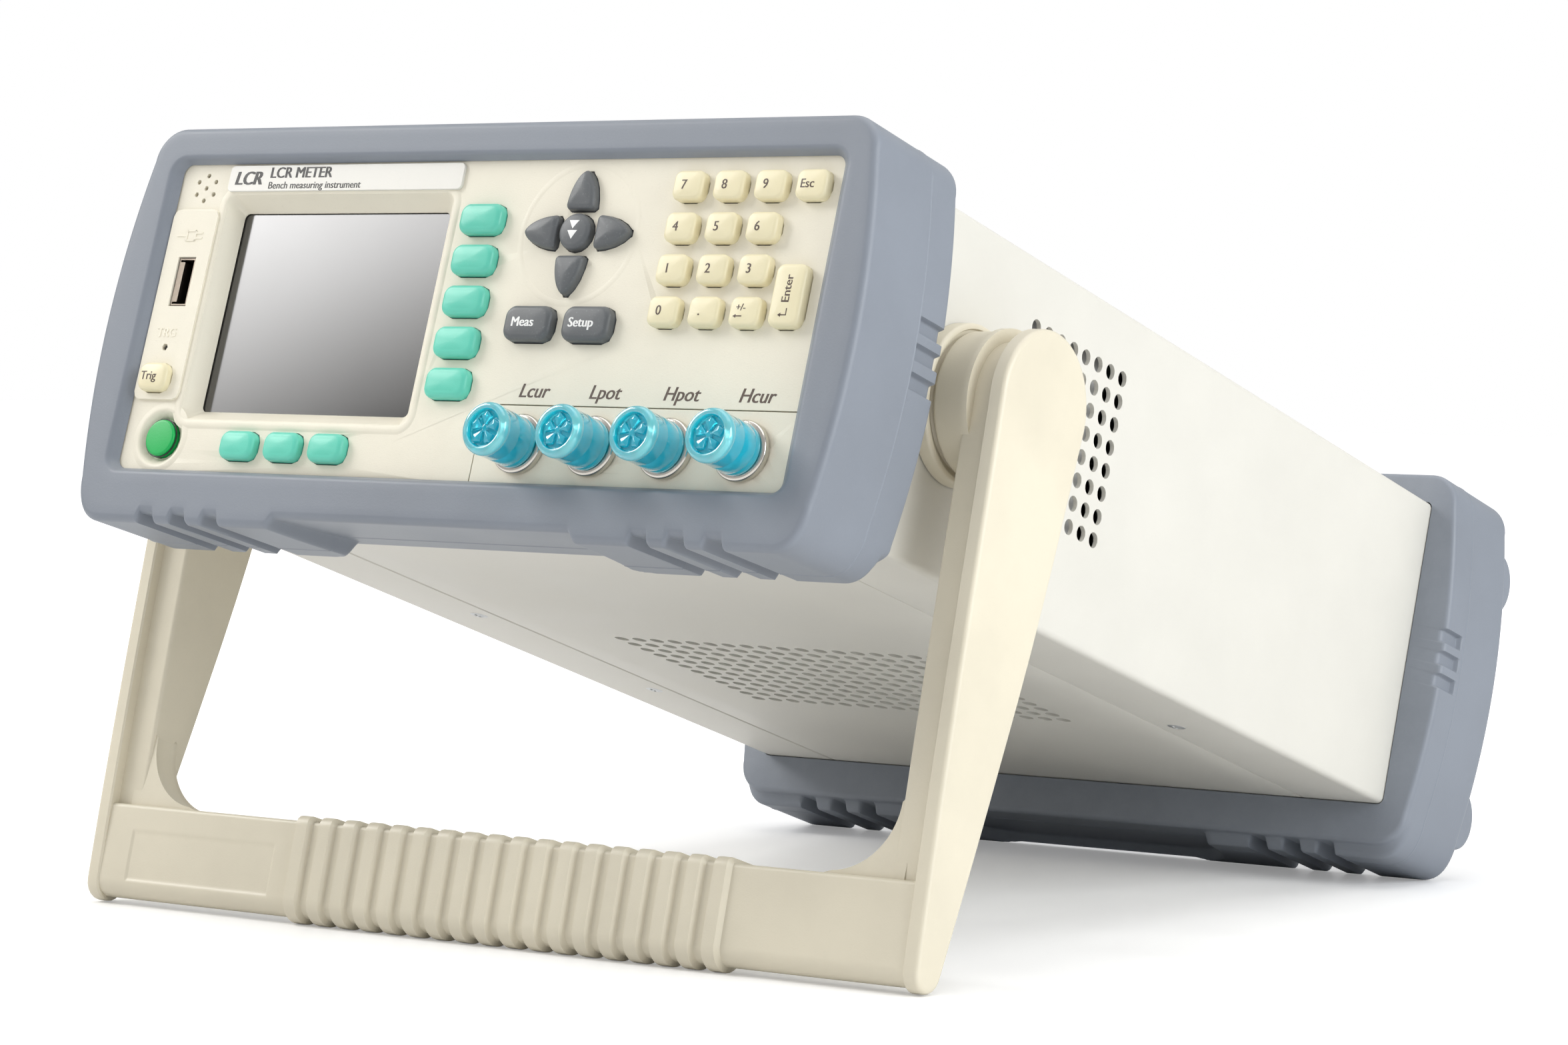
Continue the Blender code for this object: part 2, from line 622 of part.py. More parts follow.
def handle(pivot, finish):
    """One moulding: two plate-and-web arms, a bar across them and a bored boss on each arm."""
    inner = ARM_OUTER - ARM_PLATE
    bm = bmesh.new()
    loft(bm, [along_x(bar_outline(), -inner - 0.0010), along_x(bar_outline(), inner + 0.0010)])
    grip = place("handle", bm, pivot, finish, smooth=35)

    plates = bmesh.new()
    webs = bmesh.new()
    corners = bmesh.new()
    bosses = bmesh.new()
    bores = bmesh.new()
    fillet = [(inner + 0.0005, BAR_TOP - 0.0050), (inner + 0.0005, BAR_TOP + 0.0200)]
    fillet += arc(ARM_INNER - 0.0180, BAR_TOP + 0.0180, 0.0180, 0, -90, 5)
    fillet += [(ARM_INNER - 0.0180, BAR_TOP - 0.0050)]
    for side in (1, -1):
        loft(plates, [along_x(arm_outline(0.0006), side * ARM_OUTER),
                      along_x(arm_outline(0), side * (ARM_OUTER - 0.0010)),
                      along_x(arm_outline(0), side * inner)])
        loft(webs, [along_x(arm_outline(0.0032), side * (inner + 0.0008)),
                    along_x(arm_outline(0.0032), side * ARM_INNER)])
        outline = [(side * x, z) for x, z in fillet]
        loft(corners, [along_y(outline, -0.0088), along_y(outline, -0.0012)])
        boss = round_outline(BOSS_RADIUS, 0, 24)
        loft(bosses, [along_x(boss, side * (CASE_HALF_WIDTH + HUB_COLLAR + GAP)),
                      along_x(boss, side * (ARM_INNER + 0.0010))])
        bore = round_outline(SPIGOT_RADIUS + GAP, 0, 16)
        loft(bores, [along_x(bore, side * CASE_HALF_WIDTH), along_x(bore, side * 0.1224)])
    added = (("arm_plates", plates), ("arm_webs", webs), ("bar_fillets", corners),
             ("arm_bosses", bosses))
    for name, shape in added:
        combine(grip, guide(name, shape, pivot), 'UNION')
    combine(grip, guide("pivot_bores", bores, pivot), 'DIFFERENCE')
    return grip


def hub(name, pivot, finish, side):
    """A collar fixed to the case side, with the spigot that the handle turns on."""
    profile = ((0.0000, GAP), (HUB_RADIUS, GAP), (HUB_RADIUS, HUB_COLLAR - 0.0008),
               (HUB_RADIUS - 0.0008, HUB_COLLAR), (SPIGOT_RADIUS, HUB_COLLAR), (SPIGOT_RADIUS, 0.0140),
               (0.0000, 0.0140))
    turns = [2 * pi * k / 24 for k in range(24)]
    rings = [[(side * (CASE_HALF_WIDTH + out), radius * cos(turn), radius * sin(turn))
              for turn in turns] for radius, out in profile]
    bm = bmesh.new()
    loft(bm, rings)
    weld_poles(bm)
    return place(name, bm, pivot, finish, smooth=40)


# ---------------------------------------------------------------- inside and rear

def circuit_boards(parent, green):
    """The board behind the keys, cut round the display and the terminals, and the measuring board."""
    outline = [(-0.1045, -0.0010), (-0.1045, -0.0405), (0.0080, -0.0405), (0.0080, -0.0195),
               (0.1045, -0.0195), (0.1045, 0.0400), (-0.0105, 0.0400), (-0.0105, -0.0285),
               (-0.0900, -0.0285), (-0.0900, -0.0010)]
    bm = bmesh.new()
    loft(bm, [along_y(outline, 0.0085), along_y(outline, 0.0101)])
    place("keypad_board", bm, parent, green)
    bm = bmesh.new()
    box(bm, (-0.0980, 0.0200, -0.0370), (0.0980, 0.2200, -0.0354))
    place("main_board", bm, parent, green)


def power_supply(parent, steel):
    """The mains supply in its screening box, ahead of the inlet."""
    bm = bmesh.new()
    box(bm, (-0.1000, 0.2260, -0.0390), (-0.0200, 0.3000, 0.0100))
    place("power_supply", bm, parent, steel)


def rear_connectors(parent, black, steel):
    """The mains inlet with its open socket, and the interface connector."""
    face = COVER_REAR + GAP + 0.0020
    bm = bmesh.new()
    box(bm, (INLET_X - 0.0140, face - 0.0180, INLET_Z - 0.0100),
        (INLET_X + 0.0140, face + 0.0010, INLET_Z + 0.0100))
    inlet = place("mains_inlet", bm, parent, black)
    bm = bmesh.new()
    mouth = rectangle(INLET_X - 0.0120, INLET_X + 0.0120, INLET_Z - 0.0080, INLET_Z + 0.0080,
                      0.0030, 2)
    loft(bm, [along_y(mouth, face - 0.0150), along_y(mouth, face + 0.0100)])
    combine(inlet, guide("inlet_socket", bm, parent), 'DIFFERENCE')
    bm = bmesh.new()
    outline = [(SERIAL_X - 0.0084, SERIAL_Z - 0.0045), (SERIAL_X + 0.0084, SERIAL_Z - 0.0045),
               (SERIAL_X + 0.0100, SERIAL_Z + 0.0045), (SERIAL_X - 0.0100, SERIAL_Z + 0.0045)]
    loft(bm, [along_y(outline, face - 0.0120), along_y(outline, face + 0.0020)])
    place("serial_port", bm, parent, steel)


def usb_port(parent, steel):
    """The host port: a metal shell open at the front, with its tongue on one side."""
    left, right = USB_X - USB_WIDTH / 2, USB_X + USB_WIDTH / 2
    bottom, top = USB_Z - USB_HEIGHT / 2, USB_Z + USB_HEIGHT / 2
    wall = 0.0004
    bm = bmesh.new()
    box(bm, (left, -0.0004, bottom), (right, 0.0160, top))
    shell = place("usb_port", bm, parent, steel)
    bm = bmesh.new()
    mouth = [(right - wall, bottom + wall), (right - wall, top - wall), (left + wall, top - wall),
             (left + wall, top - 0.0010), (left + 0.0020, top - 0.0010),
             (left + 0.0020, bottom + 0.0010), (left + wall, bottom + 0.0010),
             (left + wall, bottom + wall)]
    loft(bm, [along_y(mouth, -0.01), along_y(mouth, 0.0120)])
    combine(shell, guide("usb_mouth", bm, parent), 'DIFFERENCE')
    return shell


def speaker(parent, black):
    """The beeper behind the small holes."""
    disc = [(SPEAKER_X + across, SPEAKER_Z + up) for across, up in round_outline(0.0064, 0, 16)]
    bm = bmesh.new()
    loft(bm, [along_y(disc, PANEL_THICKNESS + GAP), along_y(disc, PANEL_THICKNESS + 0.0050)])
    return place("speaker", bm, parent, black)


# ---------------------------------------------------------------- the whole meter

def build():
    """Build every piece under one tilted frame that stands the meter on the bench."""
    clear_scene()
    meter = empty("meter", location=(0, -CENTRE_Y, STAND_HEIGHT))
    meter.rotation_euler = (-TILT, 0, 0)
    pivot = empty("handle_pivot", meter, (0, PIVOT_Y, PIVOT_Z))

    grey = material("bumper_rubber", BUMPER_GREY, 0.62)
    ivory = material("case_paint", CASE_IVORY, 0.50)
    moulded = material("panel_plastic", PANEL_IVORY, 0.55)
    label = material("label_plastic", (0.84, 0.82, 0.76), 0.45)
    cream = material("handle_plastic", HANDLE_CREAM, 0.45)
    metal = material("terminal_metal", (0.72, 0.72, 0.70), 0.30, 1.0)
    steel = material("plated_steel", (0.62, 0.63, 0.64), 0.38, 1.0)
    black = material("black_plastic", (0.03, 0.03, 0.035), 0.50)
    board = material("circuit_board", (0.04, 0.22, 0.12), 0.45)
    blue = material("cap_plastic", CAP_BLUE, 0.30)
    glass = material("lens_plastic", (0.35, 0.36, 0.38), 0.12, 0.0, 0.45)
    key_finishes = {"turquoise": material("key_turquoise", KEY_TURQUOISE, 0.50),
                    "grey": material("key_grey", KEY_GREY, 0.50),
                    "cream": material("key_cream", KEY_CREAM, 0.50),
                    "green": material("key_green", POWER_GREEN, 0.45)}

    front_bumper(meter, grey)
    rear_bumper(meter, grey)
    top_cover(meter, ivory)
    bottom_cover(meter, ivory)
    rear_panel(meter, ivory)
    layout = key_layout()
    front_panel(meter, moulded, [(x, z, outline_of) for _, _, x, z, outline_of, _ in layout])
    terminal_plate(meter, moulded)
    name_plate(meter, label)
    display(meter, glass, black)
    for name, colour, x, z, outline_of, rise in layout:
        key(name, meter, key_finishes[colour], x, z, outline_of, rise)
    terminals(meter, metal, blue)
    handle(pivot, cream)
    hub("handle_hub_right", pivot, cream, 1)
    hub("handle_hub_left", pivot, cream, -1)
    circuit_boards(meter, board)
    power_supply(meter, steel)
    rear_connectors(meter, black, steel)
    usb_port(meter, steel)
    speaker(meter, black)


build()
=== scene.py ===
"""The looks of a bench LCR meter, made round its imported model.

Sizes are in millimetres and measured square to the meter: X to the right, Y from the front panel to the
rear, Z up, with the zero at the middle of the front panel. Stand turns them into places in the world.
"""

import json
import logging
from dataclasses import dataclass, field
from enum import Enum
from math import cos, pi, radians, sin
from typing import Callable, Optional, Sequence

import bmesh
import bpy
import numpy as np
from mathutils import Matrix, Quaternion, Vector


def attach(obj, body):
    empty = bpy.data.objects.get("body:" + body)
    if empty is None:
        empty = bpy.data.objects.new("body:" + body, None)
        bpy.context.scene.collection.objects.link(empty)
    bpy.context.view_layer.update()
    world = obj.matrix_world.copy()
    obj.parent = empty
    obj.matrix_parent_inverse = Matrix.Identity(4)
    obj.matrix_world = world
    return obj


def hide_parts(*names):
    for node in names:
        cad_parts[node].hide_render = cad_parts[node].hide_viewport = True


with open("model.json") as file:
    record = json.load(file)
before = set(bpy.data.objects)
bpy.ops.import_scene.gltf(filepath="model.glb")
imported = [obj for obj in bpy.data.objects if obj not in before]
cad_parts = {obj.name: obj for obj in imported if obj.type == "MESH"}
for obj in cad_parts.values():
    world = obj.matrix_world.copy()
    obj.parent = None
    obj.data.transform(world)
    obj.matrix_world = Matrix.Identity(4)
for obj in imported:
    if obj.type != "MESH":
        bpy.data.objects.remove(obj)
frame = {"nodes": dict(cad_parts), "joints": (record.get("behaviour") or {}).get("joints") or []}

LOG = logging.getLogger("lcr_meter")
Array = np.ndarray
Surface = Callable[[Array, Array], Array]

MM = 0.001
FLAT = 16                # added to the finish's number of a face that is shaded flat
WELD = 0.000002          # metres, for closing the seams of a piece
PIVOT = (59.5, -1.5)     # (y, z) of the handle's axis


# ---------------------------------------------------------------- frame and outlines

class Stand:
    """The tilted frame that the meter is measured in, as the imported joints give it."""

    def __init__(self, joints: Sequence[dict]) -> None:
        """Read the frame from a key's travel and the handle's axis.

        Args:
            joints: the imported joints.
        """
        by_name = {joint["name"]: joint for joint in joints}
        back = np.array(by_name["nav_centre_press"]["axis"], float)
        back /= np.linalg.norm(back)
        across = np.array((1.0, 0.0, 0.0))
        self.axes = np.stack((across, back, np.cross(across, back)))
        hinge = np.array(by_name["handle_swing"]["pos_m"], float)
        self.zero = hinge - MM * np.array((0.0, *PIVOT)) @ self.axes

    def place(self, points: Array) -> Array:
        """World places in metres of points in millimetres."""
        return self.zero + MM * points @ self.axes

    def extent(self, node: str) -> tuple[Array, Array]:
        """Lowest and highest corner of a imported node, in millimetres, square to the meter."""
        mesh = frame["nodes"][node].data
        flat = np.zeros(len(mesh.vertices) * 3)
        mesh.vertices.foreach_get("co", flat)
        local = (flat.reshape(-1, 3) - self.zero) @ self.axes.T / MM
        return local.min(axis=0), local.max(axis=0)


STAND = Stand(frame["joints"])


def smooth_step(share: Array) -> Array:
    """Rise from 0 to 1 with level ends: 3t^2 - 2t^3, with t held between 0 and 1."""
    held = np.clip(share, 0.0, 1.0)
    return held * held * (3.0 - 2.0 * held)


def arc(across: float, up: float, radius: float, start: float, end: float, steps: int) -> Array:
    """Points along a circle between two angles in degrees."""
    turn = np.radians(np.linspace(start, end, steps + 1))
    return np.stack((across + radius * np.cos(turn), up + radius * np.sin(turn)), axis=1)


def soft_box(left: float, right: float, bottom: float, top: float, radius: float,
             steps: int = 8) -> Array:
    """A rectangle with round corners, anticlockwise from its lower right corner."""
    return np.concatenate((arc(right - radius, bottom + radius, radius, -90, 0, steps),
                           arc(right - radius, top - radius, radius, 0, 90, steps),
                           arc(left + radius, top - radius, radius, 90, 180, steps),
                           arc(left + radius, bottom + radius, radius, 180, 270, steps)))


def evenly(outline: Array, count: int) -> Array:
    """A closed outline with its points shared out evenly along its length."""
    closed = np.concatenate((outline, outline[:1]))
    length = np.concatenate(((0.0,), np.cumsum(np.linalg.norm(np.diff(closed, axis=0), axis=1))))
    at = np.linspace(0.0, length[-1], count, endpoint=False)
    return np.stack([np.interp(at, length, closed[:, axis]) for axis in (0, 1)], axis=1)


def soften(outline: Array, rounds: int) -> Array:
    """Cut every corner of a closed outline at a quarter of its sides, several times over."""
    for _ in range(rounds):
        after = np.roll(outline, -1, axis=0)
        outline = np.stack((0.75 * outline + 0.25 * after, 0.25 * outline + 0.75 * after),
                           axis=1).reshape(-1, 2)
    return outline


def outward(outline: Array, closed: bool = True) -> Array:
    """Unit normals on the right hand of the way that an outline runs."""
    if closed:
        way = np.roll(outline, -1, axis=0) - np.roll(outline, 1, axis=0)
    else:
        way = np.gradient(outline, axis=0)
    way = way / np.maximum(np.linalg.norm(way, axis=1, keepdims=True), 1e-9)
    return np.stack((way[:, 1], -way[:, 0]), axis=1)


def along_y(outline: Array, depth: Array | float) -> Array:
    """(x, z) points at a depth, or at one depth for each point."""
    return np.stack((outline[..., 0], np.broadcast_to(depth, outline.shape[:-1]), outline[..., 1]),
                    axis=-1)


def along_x(outline: Array, across: float) -> Array:
    """(y, z) points about the handle's axis, at one place across."""
    return np.stack((np.full(outline.shape[:-1], across), outline[..., 0] + PIVOT[0],
                     outline[..., 1] + PIVOT[1]), axis=-1)


def level(depth: float) -> Surface:
    """A flat surface for lettering to lie on.

    Args:
        depth: the surface's y.

    Returns:
        The function that gives y at (x, z).
    """
    def surface(x: Array, z: Array) -> Array:
        """The same depth at every point."""
        return np.full(len(x), depth)
    return surface


# ---------------------------------------------------------------- mesh pieces

class Moulding:
    """Gathers patches of surface and welds them into one piece with its place in its mesh."""

    def __init__(self, name: str) -> None:
        """Start an empty piece.

        Args:
            name: the name of the finished object.
        """
        self.name = name
        self.points: list[Array] = []
        self.faces: list[list[int]] = []
        self.finish_of: list[int] = []
        self.total = 0

    def shape(self, points: Array, faces: Sequence[Sequence[int]], finish: int = 0,
              flat: bool = False) -> None:
        """Add points with the faces that join them, shaded flat if asked."""
        self.points.append(np.asarray(points, float).reshape(-1, 3))
        self.faces.extend([[index + self.total for index in face] for face in faces])
        self.finish_of.extend([finish + FLAT * flat] * len(faces))
        self.total += len(self.points[-1])

    def grid(self, points: Array, wrap_rows: bool = False, wrap_columns: bool = False,
             finish: int = 0, keep: Optional[Array] = None) -> None:
        """Add a grid of points as four-sided faces.

        Args:
            points: rows by columns by 3.
            wrap_rows: join the last row to the first.
            wrap_columns: join the last column to the first.
            finish: which of the piece's finishes the faces take.
            keep: which of the faces to make, rows by columns.
        """
        rows, columns = points.shape[:2]
        row, column = np.meshgrid(np.arange(rows if wrap_rows else rows - 1),
                                  np.arange(columns if wrap_columns else columns - 1),
                                  indexing="ij")
        below, beside = (row + 1) % rows, (column + 1) % columns
        quads = np.stack((row * columns + column, below * columns + column,
                          below * columns + beside, row * columns + beside), axis=-1)
        quads = quads[keep] if keep is not None else quads.reshape(-1, 4)
        self.shape(points, quads.tolist(), finish)

    def quads(self, corners: Array, finish: int = 0) -> None:
        """Add four-sided faces, each by its own corners: any shape ending in 4 by 3."""
        points = corners.reshape(-1, 3)
        self.shape(points, np.arange(len(points)).reshape(-1, 4).tolist(), finish)

    def solid(self, rings: Array, finish: int = 0) -> None:
        """Add rings joined side to side, with a flat face over each end."""
        self.grid(rings, wrap_columns=True, finish=finish)
        for ring in (rings[0], rings[-1]):
            self.shape(ring, [list(range(len(ring)))], finish, flat=True)

    def turned(self, profile: Sequence[tuple[float, float]], x: float, z: float, count: int = 48,
               finish: int = 0, loop: bool = False) -> None:
        """Add a profile of (radius, y) turned about a line along Y: x + r cos a, z + r sin a."""
        radius, depth = np.array(profile, float).T
        turn = np.linspace(0.0, 2 * pi, count, endpoint=False)
        rings = np.stack((x + radius[:, None] * np.cos(turn), np.repeat(depth[:, None], count, 1),
                          z + radius[:, None] * np.sin(turn)), axis=-1)
        self.grid(rings, wrap_rows=loop, wrap_columns=True, finish=finish)

    def turned_across(self, profile: Sequence[tuple[float, float]], side: int, count: int = 72,
                      loop: bool = False) -> None:
        """Add a profile of (radius, x) turned about the handle's axis, on one side."""
        radius, across = np.array(profile, float).T
        turn = np.linspace(0.0, 2 * pi, count, endpoint=False)
        rings = np.stack((np.repeat(side * across[:, None], count, 1),
                          PIVOT[0] + radius[:, None] * np.cos(turn),
                          PIVOT[1] + radius[:, None] * np.sin(turn)), axis=-1)
        self.grid(rings, wrap_rows=loop, wrap_columns=True)

    def make(self, body: str, finishes: Sequence["Finish"],
             replaces: Sequence[str] = (), sharp: float = 38.0) -> bpy.types.Object:
        """Weld the patches, turn them outwards and hang the piece on its body.

        Args:
            body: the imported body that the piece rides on.
            finishes: the finishes, in the order of the patches' numbers.
            replaces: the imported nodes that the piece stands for.
            sharp: the angle in degrees past which an edge is drawn sharp.

        Returns:
            The finished object, at the origin.
        """
        mesh = bpy.data.meshes.new(self.name)
        mesh.from_pydata(STAND.place(np.concatenate(self.points)).tolist(), [], self.faces)
        mesh.polygons.foreach_set("material_index", self.finish_of)
        work = bmesh.new()
        work.from_mesh(mesh)
        bmesh.ops.remove_doubles(work, verts=work.verts, dist=WELD)
        thin = [face for face in work.faces if face.calc_area() < 1e-13]
        bmesh.ops.delete(work, geom=thin, context="FACES_ONLY")
        bmesh.ops.recalc_face_normals(work, faces=work.faces)
        work.to_mesh(mesh)
        work.free()
        mesh.shade_smooth()
        mesh.set_sharp_from_angle(angle=radians(sharp))
        kind = np.zeros(len(mesh.polygons), int)
        mesh.polygons.foreach_get("material_index", kind)
        mesh.polygons.foreach_set("material_index", kind % FLAT)
        mesh.polygons.foreach_set("use_smooth", kind < FLAT)
        for finish in finishes:
            mesh.materials.append(finish.material())
        piece = bpy.data.objects.new(self.name, mesh)
        bpy.context.scene.collection.objects.link(piece)
        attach(piece, body)
        if replaces:
            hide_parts(*replaces)
        LOG.info("%s: %d faces on %s", self.name, len(mesh.polygons), body)
        return piece


def split_faces(mesh: bpy.types.Mesh, cuts: int) -> tuple[Array, list[list[int]]]:
    """Cut a mesh's faces into triangles, each edge in (cuts + 1) parts.

    Args:
        mesh: the mesh to read.
        cuts: how many times each edge is cut.

    Returns:
        The points, and the faces that join them.
    """
    work = bmesh.new()
    work.from_mesh(mesh)
    bmesh.ops.remove_doubles(work, verts=work.verts, dist=0.0005)
    bmesh.ops.triangulate(work, faces=work.faces)
    if cuts:
        bmesh.ops.subdivide_edges(work, edges=work.edges, cuts=cuts, use_grid_fill=True)
    work.verts.index_update()
    points = np.array([vertex.co[:] for vertex in work.verts])
    faces = [[vertex.index for vertex in face.verts] for face in work.faces]
    work.free()
    return points, faces


def drawn_mark(outline: Array, thick: float = 0.035, cuts: int = 3) -> tuple[Array, list[list[int]]]:
    """A flat mark as a thin slab (right, up, out), cut finely enough to follow a curved surface.

    Args:
        outline: the mark's closed outline.
        thick: how far it stands off on each side of the surface.
        cuts: how many times each edge is cut.

    Returns:
        The points, and the faces that join them.
    """
    count = len(outline)
    points = np.concatenate([np.column_stack((outline, np.full(count, out))) for out in (thick, -thick)])
    index = np.arange(count)
    walls = np.stack((index, (index + 1) % count, (index + 1) % count + count, index + count), 1)
    faces = [index.tolist(), (index + count)[::-1].tolist(), *walls.tolist()]
    mesh = bpy.data.meshes.new("mark")
    mesh.from_pydata(points.tolist(), [], faces)
    split = split_faces(mesh, cuts)
    bpy.data.meshes.remove(mesh)
    return split


@dataclass
class Legend:
    """Lettering that lies on a surface: its middle, cap height, slant and weight."""

    text: str
    x: float
    z: float
    height: float
    slant: float = 0.25
    bold: float = 0.0            # how far apart the two strikes of a heavy letter lie
    quarter_turn: bool = False
    thick: float = 0.03
    from_left: bool = False
    cuts: int = 2                # how finely the faces are split, to follow a curved surface

    CAP_SHARE = 0.70         # height of a capital as a share of the type's size

    def outline(self) -> tuple[Array, list[list[int]]]:
        """Points (right, up, out) and faces of the lettering about its own middle."""
        curve = bpy.data.curves.new("lettering", "FONT")
        curve.body = self.text
        curve.size = self.height / self.CAP_SHARE
        curve.shear = self.slant
        curve.extrude = self.thick
        curve.resolution_u = 3
        curve.align_x = "LEFT" if self.from_left else "CENTER"
        holder = bpy.data.objects.new("lettering", curve)
        bpy.context.scene.collection.objects.link(holder)
        drawn = bpy.data.meshes.new_from_object(
            holder.evaluated_get(bpy.context.evaluated_depsgraph_get()))
        points, faces = split_faces(drawn, self.cuts)
        bpy.data.objects.remove(holder)
        bpy.data.curves.remove(curve)
        bpy.data.meshes.remove(drawn)
        points[:, 1] -= self.height / 2
        if self.quarter_turn:
            points = np.stack((-points[:, 1], points[:, 0], points[:, 2]), axis=1)
        return points, faces

    def write(self, piece: Moulding, surface: Surface, finish: int = 1) -> None:
        """Lay the lettering on a surface: every point stands its own height off it.

        Args:
            piece: the piece that takes the lettering.
            surface: gives the surface's y at (x, z).
            finish: the number of the ink among the piece's finishes.
        """
        points, faces = self.outline()
        for strike in ((-0.5, 0.0, 0.5) if self.bold else (0.0,)):
            x = self.x + points[:, 0] + (0.0 if self.quarter_turn else strike * self.bold)
            z = self.z + points[:, 1] + (strike * self.bold if self.quarter_turn else 0.0)
            piece.shape(np.stack((x, surface(x, z) - points[:, 2] - strike * 0.004, z), axis=1),
                        faces, finish)


# ---------------------------------------------------------------- finishes

class Layout:
    """Short hand for adding and joining nodes."""

    def __init__(self, tree: bpy.types.NodeTree) -> None:
        """Keep the tree that the nodes go into."""
        self.tree = tree

    def add(self, kind: str, values: Optional[dict] = None, **settings: object) -> bpy.types.Node:
        """Add one node.

        Args:
            kind: the node's type, without its ShaderNode prefix.
            values: input name or number to a plain value or to the socket that feeds it.
            settings: the node's own settings.

        Returns:
            The node.
        """
        node = self.tree.nodes.new("ShaderNode" + kind)
        for name, value in settings.items():
            setattr(node, name, value)
        for name, value in (values or {}).items():
            if isinstance(value, bpy.types.NodeSocket):
                self.tree.links.new(value, node.inputs[name])
            else:
                node.inputs[name].default_value = value
        return node

    def math(self, operation: str, first: object, second: object = 0.0) -> bpy.types.NodeSocket:
        """One sum of two values or sockets."""
        return self.add("Math", {0: first, 1: second}, operation=operation).outputs[0]

    def ramp(self, value: object, low: float, high: float, start: float = 0.0,
             end: float = 1.0) -> bpy.types.NodeSocket:
        """A value spread from one range over another, held at its ends."""
        return self.add("MapRange", {0: value, 1: low, 2: high, 3: start, 4: end}).outputs[0]

    def mix(self, share: object, first: object, second: object) -> bpy.types.NodeSocket:
        """Two colours mixed by a share."""
        node = self.add("Mix", {0: share, 6: first, 7: second}, data_type="RGBA")
        return node.outputs[2]


def effect(name: str, takes: dict[str, float], gives: Sequence[str]) -> Optional[tuple]:
    """A new node group with named sockets, or None where it already exists.

    Args:
        name: the group's name.
        takes: input names with their usual values.
        gives: output names.

    Returns:
        The group's layout, its input node and its output node.
    """
    if name in bpy.data.node_groups:
        return None
    tree = bpy.data.node_groups.new(name, "ShaderNodeTree")
    for label, value in takes.items():
        tree.interface.new_socket(label, in_out="INPUT",
                                  socket_type="NodeSocketFloat").default_value = value
    for label in gives:
        tree.interface.new_socket(label, in_out="OUTPUT", socket_type="NodeSocketFloat")
    layout = Layout(tree)
    return layout, tree.nodes.new("NodeGroupInput"), tree.nodes.new("NodeGroupOutput")


def moulded_grain() -> bpy.types.NodeTree:
    """Spark texture of a mould: a fine grain, a slow cloud of tone and a scatter of specks."""
    made = effect("moulded_grain", {"Scale": 2500.0, "Cloud Scale": 26.0, "Speck Scale": 1700.0},
                  ("Height", "Cloud", "Speck"))
    if made:
        lay, takes, gives = made
        place = lay.add("TexCoord").outputs["Object"]
        fine = lay.add("TexNoise", {"Vector": place, "Scale": takes.outputs["Scale"],
                                    "Detail": 2.0, "Roughness": 0.6})
        cloud = lay.add("TexNoise", {"Vector": place, "Scale": takes.outputs["Cloud Scale"],
                                     "Detail": 4.0, "Roughness": 0.55})
        speck = lay.add("TexNoise", {"Vector": place, "Scale": takes.outputs["Speck Scale"],
                                     "Detail": 1.0})
        lay.tree.links.new(fine.outputs[0], gives.inputs["Height"])
        lay.tree.links.new(lay.ramp(cloud.outputs[0], 0.32, 0.68), gives.inputs["Cloud"])
        lay.tree.links.new(lay.ramp(speck.outputs[0], 0.63, 0.74), gives.inputs["Speck"])
    return bpy.data.node_groups["moulded_grain"]


def handling_wear() -> bpy.types.NodeTree:
    """Wear: rubbed edges where the surface turns sharply, and short fine scratches."""
    made = effect("handling_wear", {"Patch Scale": 90.0, "Scratch Scale": 160.0},
                  ("Edge", "Scratch"))
    if made:
        lay, takes, gives = made
        place = lay.add("TexCoord").outputs["Object"]
        sharpness = lay.add("NewGeometry").outputs["Pointiness"]
        patch = lay.add("TexNoise", {"Vector": place, "Scale": takes.outputs["Patch Scale"],
                                     "Detail": 5.0, "Roughness": 0.7})
        edge = lay.math("MULTIPLY", lay.ramp(sharpness, 0.515, 0.60),
                        lay.ramp(patch.outputs[0], 0.42, 0.62))
        turned = lay.add("Mapping", {"Vector": place, "Rotation": (0.4, 0.9, 0.3),
                                     "Scale": (1.0, 14.0, 1.0)}).outputs[0]
        line = lay.add("TexNoise", {"Vector": turned, "Scale": takes.outputs["Scratch Scale"],
                                    "Detail": 3.0, "Roughness": 0.7})
        scratch = lay.math("MULTIPLY", lay.ramp(line.outputs[0], 0.66, 0.72),
                           lay.ramp(patch.outputs[0], 0.50, 0.66))
        lay.tree.links.new(edge, gives.inputs["Edge"])
        lay.tree.links.new(scratch, gives.inputs["Scratch"])
    return bpy.data.node_groups["handling_wear"]


def settled_dust() -> bpy.types.NodeTree:
    """Dust: a patchy film on whatever faces up."""
    made = effect("settled_dust", {"Patch Scale": 38.0}, ("Dust",))
    if made:
        lay, takes, gives = made
        place = lay.add("TexCoord").outputs["Object"]
        normal = lay.add("NewGeometry").outputs["Normal"]
        facing = lay.add("SeparateXYZ", {0: normal}).outputs[2]
        patch = lay.add("TexNoise", {"Vector": place, "Scale": takes.outputs["Patch Scale"],
                                     "Detail": 6.0, "Roughness": 0.65})
        film = lay.math("MULTIPLY", lay.ramp(facing, 0.35, 1.0), lay.ramp(patch.outputs[0], 0.35, 0.7))
        lay.tree.links.new(film, gives.inputs["Dust"])
    return bpy.data.node_groups["settled_dust"]


